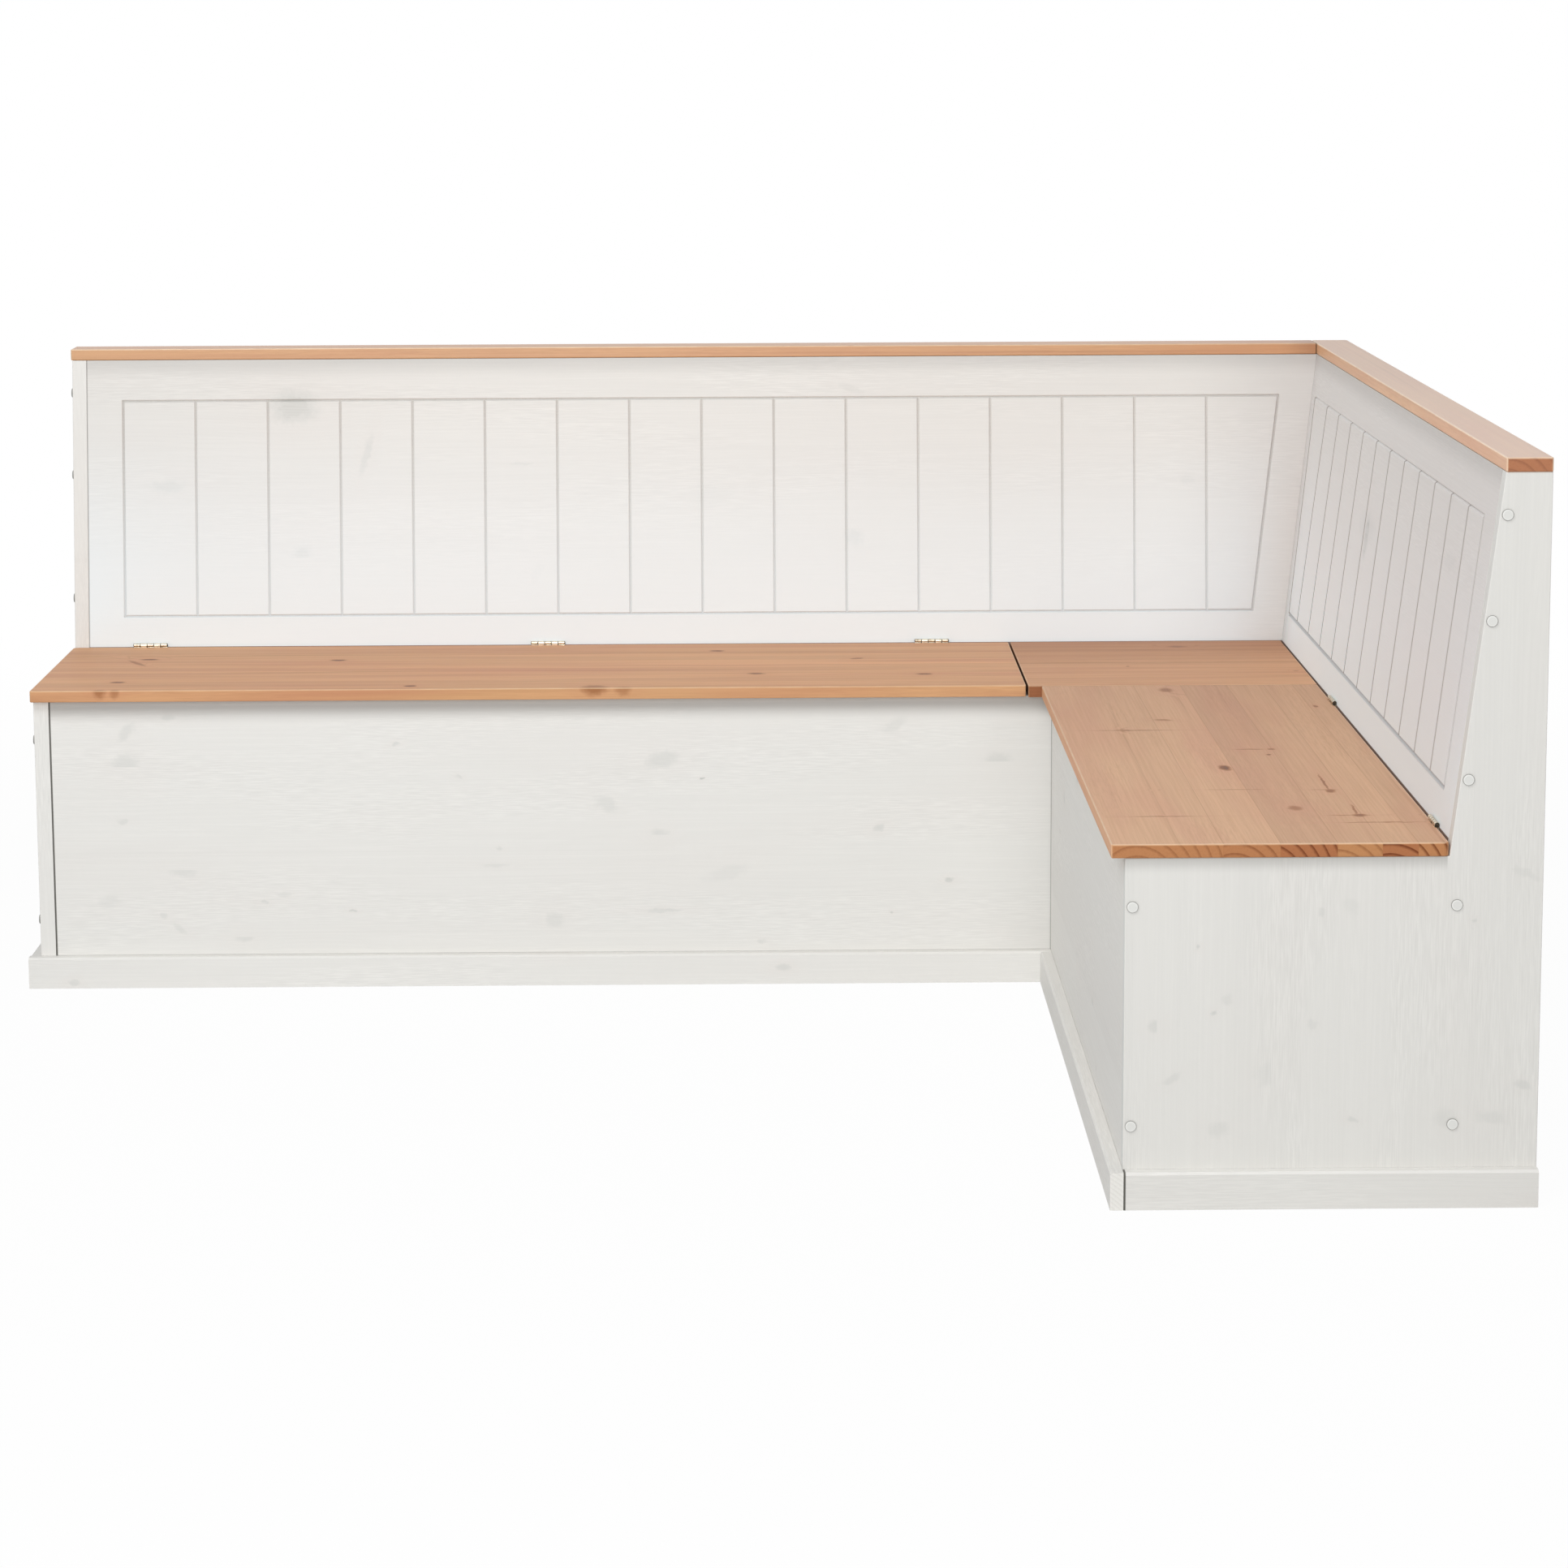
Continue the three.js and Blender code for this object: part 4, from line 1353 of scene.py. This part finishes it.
@dataclass
class Inside:
    """The raw pine inside the boxes: floors, their battens, the lids' battens and the corner cleat."""

    kinds: Tuple[str, ...] = ("batten", "floor", "cleat")
    seeds: Pair = (101.0, 7.0)

    def dress(self) -> None:
        """Gives each piece raw pine along its length."""
        boards = []
        for node in sorted(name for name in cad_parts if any(kind in name for kind in self.kinds)):
            low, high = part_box(node)
            size = high - low
            lay = Lay.SEAT_X if size.x > size.y else Lay.SEAT_Y
            boards.append(Board(node, RAW, lay, glued="floor_panel" in node))
        dress_boards(boards, *self.seeds)


def as_mesh(name: str, shape: bmesh.types.BMesh) -> bpy.types.Mesh:
    """Makes a mesh of a shape and frees the shape.

    Args:
        name: Name of the mesh.
        shape: What it is made of.

    Returns:
        The mesh.
    """
    mesh = bpy.data.meshes.new(name)
    shape.to_mesh(mesh)
    shape.free()
    return mesh


def place_in_scene(name: str, data: bpy.types.ID) -> bpy.types.Object:
    """Adds an object to the scene.

    Args:
        name: Its name.
        data: Its mesh, lamp or camera.

    Returns:
        The object.
    """
    thing = bpy.data.objects.new(name, data)
    bpy.context.scene.collection.objects.link(thing)
    return thing


@dataclass
class Screws:
    """Countersunk screws with a cross recess, modelled once and set where each is driven."""

    material: bpy.types.Material
    head_radius: float = 0.0028
    head_rise: float = 0.0003
    rim: float = 0.0002
    slot_half_width: float = 0.00035
    slot_half_length: float = 0.0015
    slot_depth: float = 0.0009
    level: float = 0.9
    sides: int = 24
    turn_step: float = 1.1

    def _head(self, radius: float) -> bmesh.types.BMesh:
        """Makes a head about the origin, with its rim on the plane z = 0.

        Args:
            radius: Radius of the head.

        Returns:
            The head, which looks up +Z.
        """
        scale = radius / self.head_radius
        head = bmesh.new()
        made = bmesh.ops.create_circle(head, cap_ends=True, segments=self.sides, radius=radius - self.rim)
        bmesh.ops.translate(head, vec=(0.0, 0.0, self.head_rise), verts=made["verts"])
        width, length = self.slot_half_width * scale, self.slot_half_length * scale
        for axis in ((1.0, 0.0, 0.0), (0.0, 1.0, 0.0)):
            for offset in (-length, -width, width, length):
                whole = list(head.verts) + list(head.edges) + list(head.faces)
                bmesh.ops.bisect_plane(head, geom=whole, plane_co=Vector(axis) * offset, plane_no=axis)
        rim_edges = [edge for edge in head.edges if edge.is_boundary]
        skirt = bmesh.ops.extrude_edge_only(head, edges=rim_edges)
        lower = [item for item in skirt["geom"] if isinstance(item, bmesh.types.BMVert)]
        bmesh.ops.scale(head, vec=(radius / (radius - self.rim),) * 2 + (1.0,), verts=lower)
        bmesh.ops.translate(head, vec=(0.0, 0.0, -self.head_rise), verts=lower)
        cross = []
        for face in head.faces:
            x, y = (abs(value) for value in face.calc_center_median().xy)
            if face.normal.z > self.level and ((x < width and y < length) or (y < width and x < length)):
                cross.append(face)
        sunk = bmesh.ops.extrude_face_region(head, geom=cross)
        floor = [item for item in sunk["geom"] if isinstance(item, bmesh.types.BMVert)]
        bmesh.ops.translate(head, vec=(0.0, 0.0, -self.slot_depth * scale), verts=floor)
        bmesh.ops.delete(head, geom=cross, context="FACES")
        bottom = [edge for edge in head.edges if edge.is_boundary]
        bmesh.ops.contextual_create(head, geom=bottom)
        bmesh.ops.recalc_face_normals(head, faces=list(head.faces))
        return head

    def drive(self, name: str, body: str, places: Sequence[Tuple[Vector, Vector]], radius: float) -> None:
        """Makes one piece of all the screws that ride on a body.

        Args:
            name: Name of the piece.
            body: Body that it rides on.
            places: Where each head sits and the way that it looks.
            radius: Radius of the heads.
        """
        template = as_mesh(f"{name}_head", self._head(radius))
        whole = bmesh.new()
        for index, (centre, outward) in enumerate(places):
            before = len(whole.verts)
            whole.from_mesh(template)
            whole.verts.ensure_lookup_table()
            added = whole.verts[before:]
            spin = Matrix.Rotation(index * self.turn_step, 4, "Z")
            turn = outward.to_track_quat("Z", "Y").to_matrix().to_4x4()
            bmesh.ops.transform(whole, matrix=Matrix.Translation(centre) @ turn @ spin, verts=added)
        piece = place_in_scene(name, as_mesh(name, whole))
        bpy.data.meshes.remove(template)
        piece.data.materials.append(self.material)
        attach(piece, body)
        log.info("%s: %d screws on %s", name, len(places), body)


@dataclass
class Hinges:
    """The brass butt hinges and the screws that hold their leaves and the lids' battens."""

    legs: Tuple[Tuple[str, Vector, Vector, int, int], ...] = (
        ("long", Vector((0.0, 1.0, 0.0)), Vector((1.0, 0.0, 0.0)), 3, 3),
        ("short", Vector((1.0, 0.0, 0.0)), Vector((0.0, 1.0, 0.0)), 2, 2),
    )
    fixed_near: float = 0.0016
    lid_near: float = 0.001173
    screw_drop: float = 0.0116
    screw_shares: Tuple[float, ...] = (0.14, 0.5, 0.86)
    batten_screw_shares: Tuple[float, ...] = (0.08, 0.36, 0.64, 0.92)
    batten_screw_radius: float = 0.0038

    def dress(self) -> None:
        """Dresses the hinges in brass and drives the screws."""
        brass = Brass()
        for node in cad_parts:
            if "_hinge_" in node:
                wear(node, brass.material(node))
        screws = Screws(brass.material())
        lean = BackrestBoard.lean
        for name, wall, run, hinges, battens in self.legs:
            on_lid, on_backrest = [], []
            up = UP * math.cos(lean) + wall * math.sin(lean)
            out = UP * math.sin(lean) - wall * math.cos(lean)
            for index in range(1, hinges + 1):
                low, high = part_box(f"{name}_hinge_{index}_lid_leaf")
                radius = (high - low).dot(wall) / 2
                axis = (low + high) / 2
                axis.z = high.z - radius
                length = (high - low).dot(run)
                for share in self.screw_shares:
                    place = axis + run * (share - 0.5) * length
                    on_lid.append((place - wall * self.lid_near - UP * self.screw_drop, wall))
                    on_backrest.append((place - up * self.screw_drop - out * self.fixed_near, out))
            screws.drive(f"{name}_lid_leaf_screws", f"{name}_lid", on_lid, screws.head_radius)
            screws.drive(f"{name}_fixed_leaf_screws", "bench", on_backrest, screws.head_radius)
            in_battens = []
            for index in range(1, battens + 1):
                low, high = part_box(f"{name}_lid_batten_{index}")
                middle = (low + high) / 2
                for share in self.batten_screw_shares:
                    place = middle + wall * (share - 0.5) * (high - low).dot(wall)
                    place.z = low.z
                    in_battens.append((place, -UP))
            screws.drive(f"{name}_batten_screws", f"{name}_lid", in_battens, self.batten_screw_radius)


@dataclass
class Caps:
    """The white caps over the cheeks' screws."""

    def dress(self) -> None:
        """Dresses the caps in white plastic."""
        plastic = CapPlastic()
        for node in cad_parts:
            if "_cap_" in node:
                wear(node, plastic.material(node))


# ---------------------------------- studio


@dataclass
class Softbox:
    """A square soft lamp that looks at a point."""

    name: str
    place: Tuple[float, float, float]
    target: Tuple[float, float, float]
    size: float
    power: float

    def light(self) -> None:
        """Adds the lamp to the scene."""
        data = bpy.data.lights.new(self.name, "AREA")
        data.shape = "SQUARE"
        data.size = self.size
        data.energy = self.power
        lamp = place_in_scene(self.name, data)
        look = Vector(self.target) - Vector(self.place)
        lamp.rotation_euler = look.to_track_quat("-Z", "Y").to_euler()
        lamp.location = self.place


@dataclass
class Studio:
    """The pale floor, the white surroundings, the soft lamps and the camera."""

    floor_size: float = 60.0
    floor_colour: Colour = paint(222, 222, 222)
    floor_pale: Colour = paint(236, 236, 236)
    floor_scale: float = 3.0
    floor_span: Pair = (-0.2, 0.4)
    floor_show: float = 0.2
    floor_glow: float = 0.97
    glow_near: float = 1.6
    glow_far: float = 4.0
    surround_strength: float = 0.42
    softboxes: Tuple[Softbox, ...] = (
        Softbox("key lamp", (-1.3, -2.9, 3.7), (0.0, 0.1, 0.3), 1.6, 57.0),
        Softbox("front lamp", (-0.6, -6.0, 2.2), (0.0, 0.2, 0.4), 2.6, 141.0),
    )
    camera_place: Tuple[float, float, float] = (0.0520, -5.53852, 1.43549)
    camera_turn: Tuple[float, float, float] = (81.209, 0.2457, -0.6185)
    lens: float = 93.81
    sensor: float = 36.0
    shift_up: float = -0.0999
    view_reach: float = 100.0

    def _is_shown(self, recipe: Recipe) -> Shade:
        """Tells rays that show the surroundings from those that only light the bench.

        Args:
            recipe: The tree of the surroundings.

        Returns:
            1 for a ray that shows them, straight or by a mirror or glass.
        """
        path = recipe.node("ShaderNodeLightPath").socket.node.outputs
        camera, glossy, through = (
            Shade(recipe, path[name]) for name in ("Is Camera Ray", "Is Glossy Ray", "Is Transmission Ray")
        )
        return camera.most(glossy).most(through)

    def _floor(self) -> None:
        """Lays the floor."""
        recipe = Recipe(bpy.data.materials.new("studio floor"))
        fine = recipe.noise(recipe.place(), self.floor_scale).rise(*self.floor_span) * self.floor_show
        colour = recipe.mix(fine, self.floor_colour, self.floor_pale)
        matt = recipe.node("ShaderNodeBsdfDiffuse", None, {"Color": colour})
        glow = recipe.node("ShaderNodeEmission", None, {"Color": WHITE, "Strength": 1.0})
        path = recipe.node("ShaderNodeLightPath", None, None, "Is Camera Ray")
        away = recipe.vectors("LENGTH", recipe.place(), output="Value")
        share = away.rise(self.glow_near, self.glow_far) * (1.0 - self.floor_glow) + self.floor_glow
        mixed = recipe.node("ShaderNodeMixShader", None, {0: path * share, 1: matt, 2: glow})
        recipe.show(mixed)
        ground = bmesh.new()
        bmesh.ops.create_grid(ground, x_segments=1, y_segments=1, size=self.floor_size / 2)
        floor = place_in_scene("studio_floor", as_mesh("studio_floor", ground))
        floor.data.materials.append(recipe.owner)

    def _surroundings(self) -> None:
        """Makes the white surroundings, which light the bench less than they show."""
        world = bpy.data.worlds.new("surroundings")
        bpy.context.scene.world = world
        recipe = Recipe(world)
        shown = self._is_shown(recipe)
        lit, seen = (
            recipe.node("ShaderNodeBackground", None, {"Color": WHITE, "Strength": strength})
            for strength in (self.surround_strength, 1.0)
        )
        mixed = recipe.node("ShaderNodeMixShader", None, {0: shown, 1: lit, 2: seen})
        recipe.show(mixed, "ShaderNodeOutputWorld")

    def _camera(self) -> None:
        """Sets the camera at the photograph's viewing angle."""
        data = bpy.data.cameras.new("camera")
        data.lens = self.lens
        data.sensor_width = self.sensor
        data.shift_y = self.shift_up
        data.clip_end = self.view_reach
        camera = place_in_scene("camera", data)
        camera.location = self.camera_place
        camera.rotation_euler = Euler([math.radians(turn) for turn in self.camera_turn])
        bpy.context.scene.camera = camera

    def build(self) -> None:
        """Builds the studio round the bench."""
        self._camera()
        self._floor()
        self._surroundings()
        for softbox in self.softboxes:
            softbox.light()
        bpy.context.scene.view_settings.view_transform = "Standard"
        log.info("studio built")


def main() -> None:
    """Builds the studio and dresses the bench."""
    logging.basicConfig(level=logging.INFO, format="%(name)s: %(message)s")
    Studio().build()
    for part in (Case(), Backrest(), Seats(), Inside(), Hinges(), Caps()):
        part.dress()


if __name__ == "__main__":
    main()
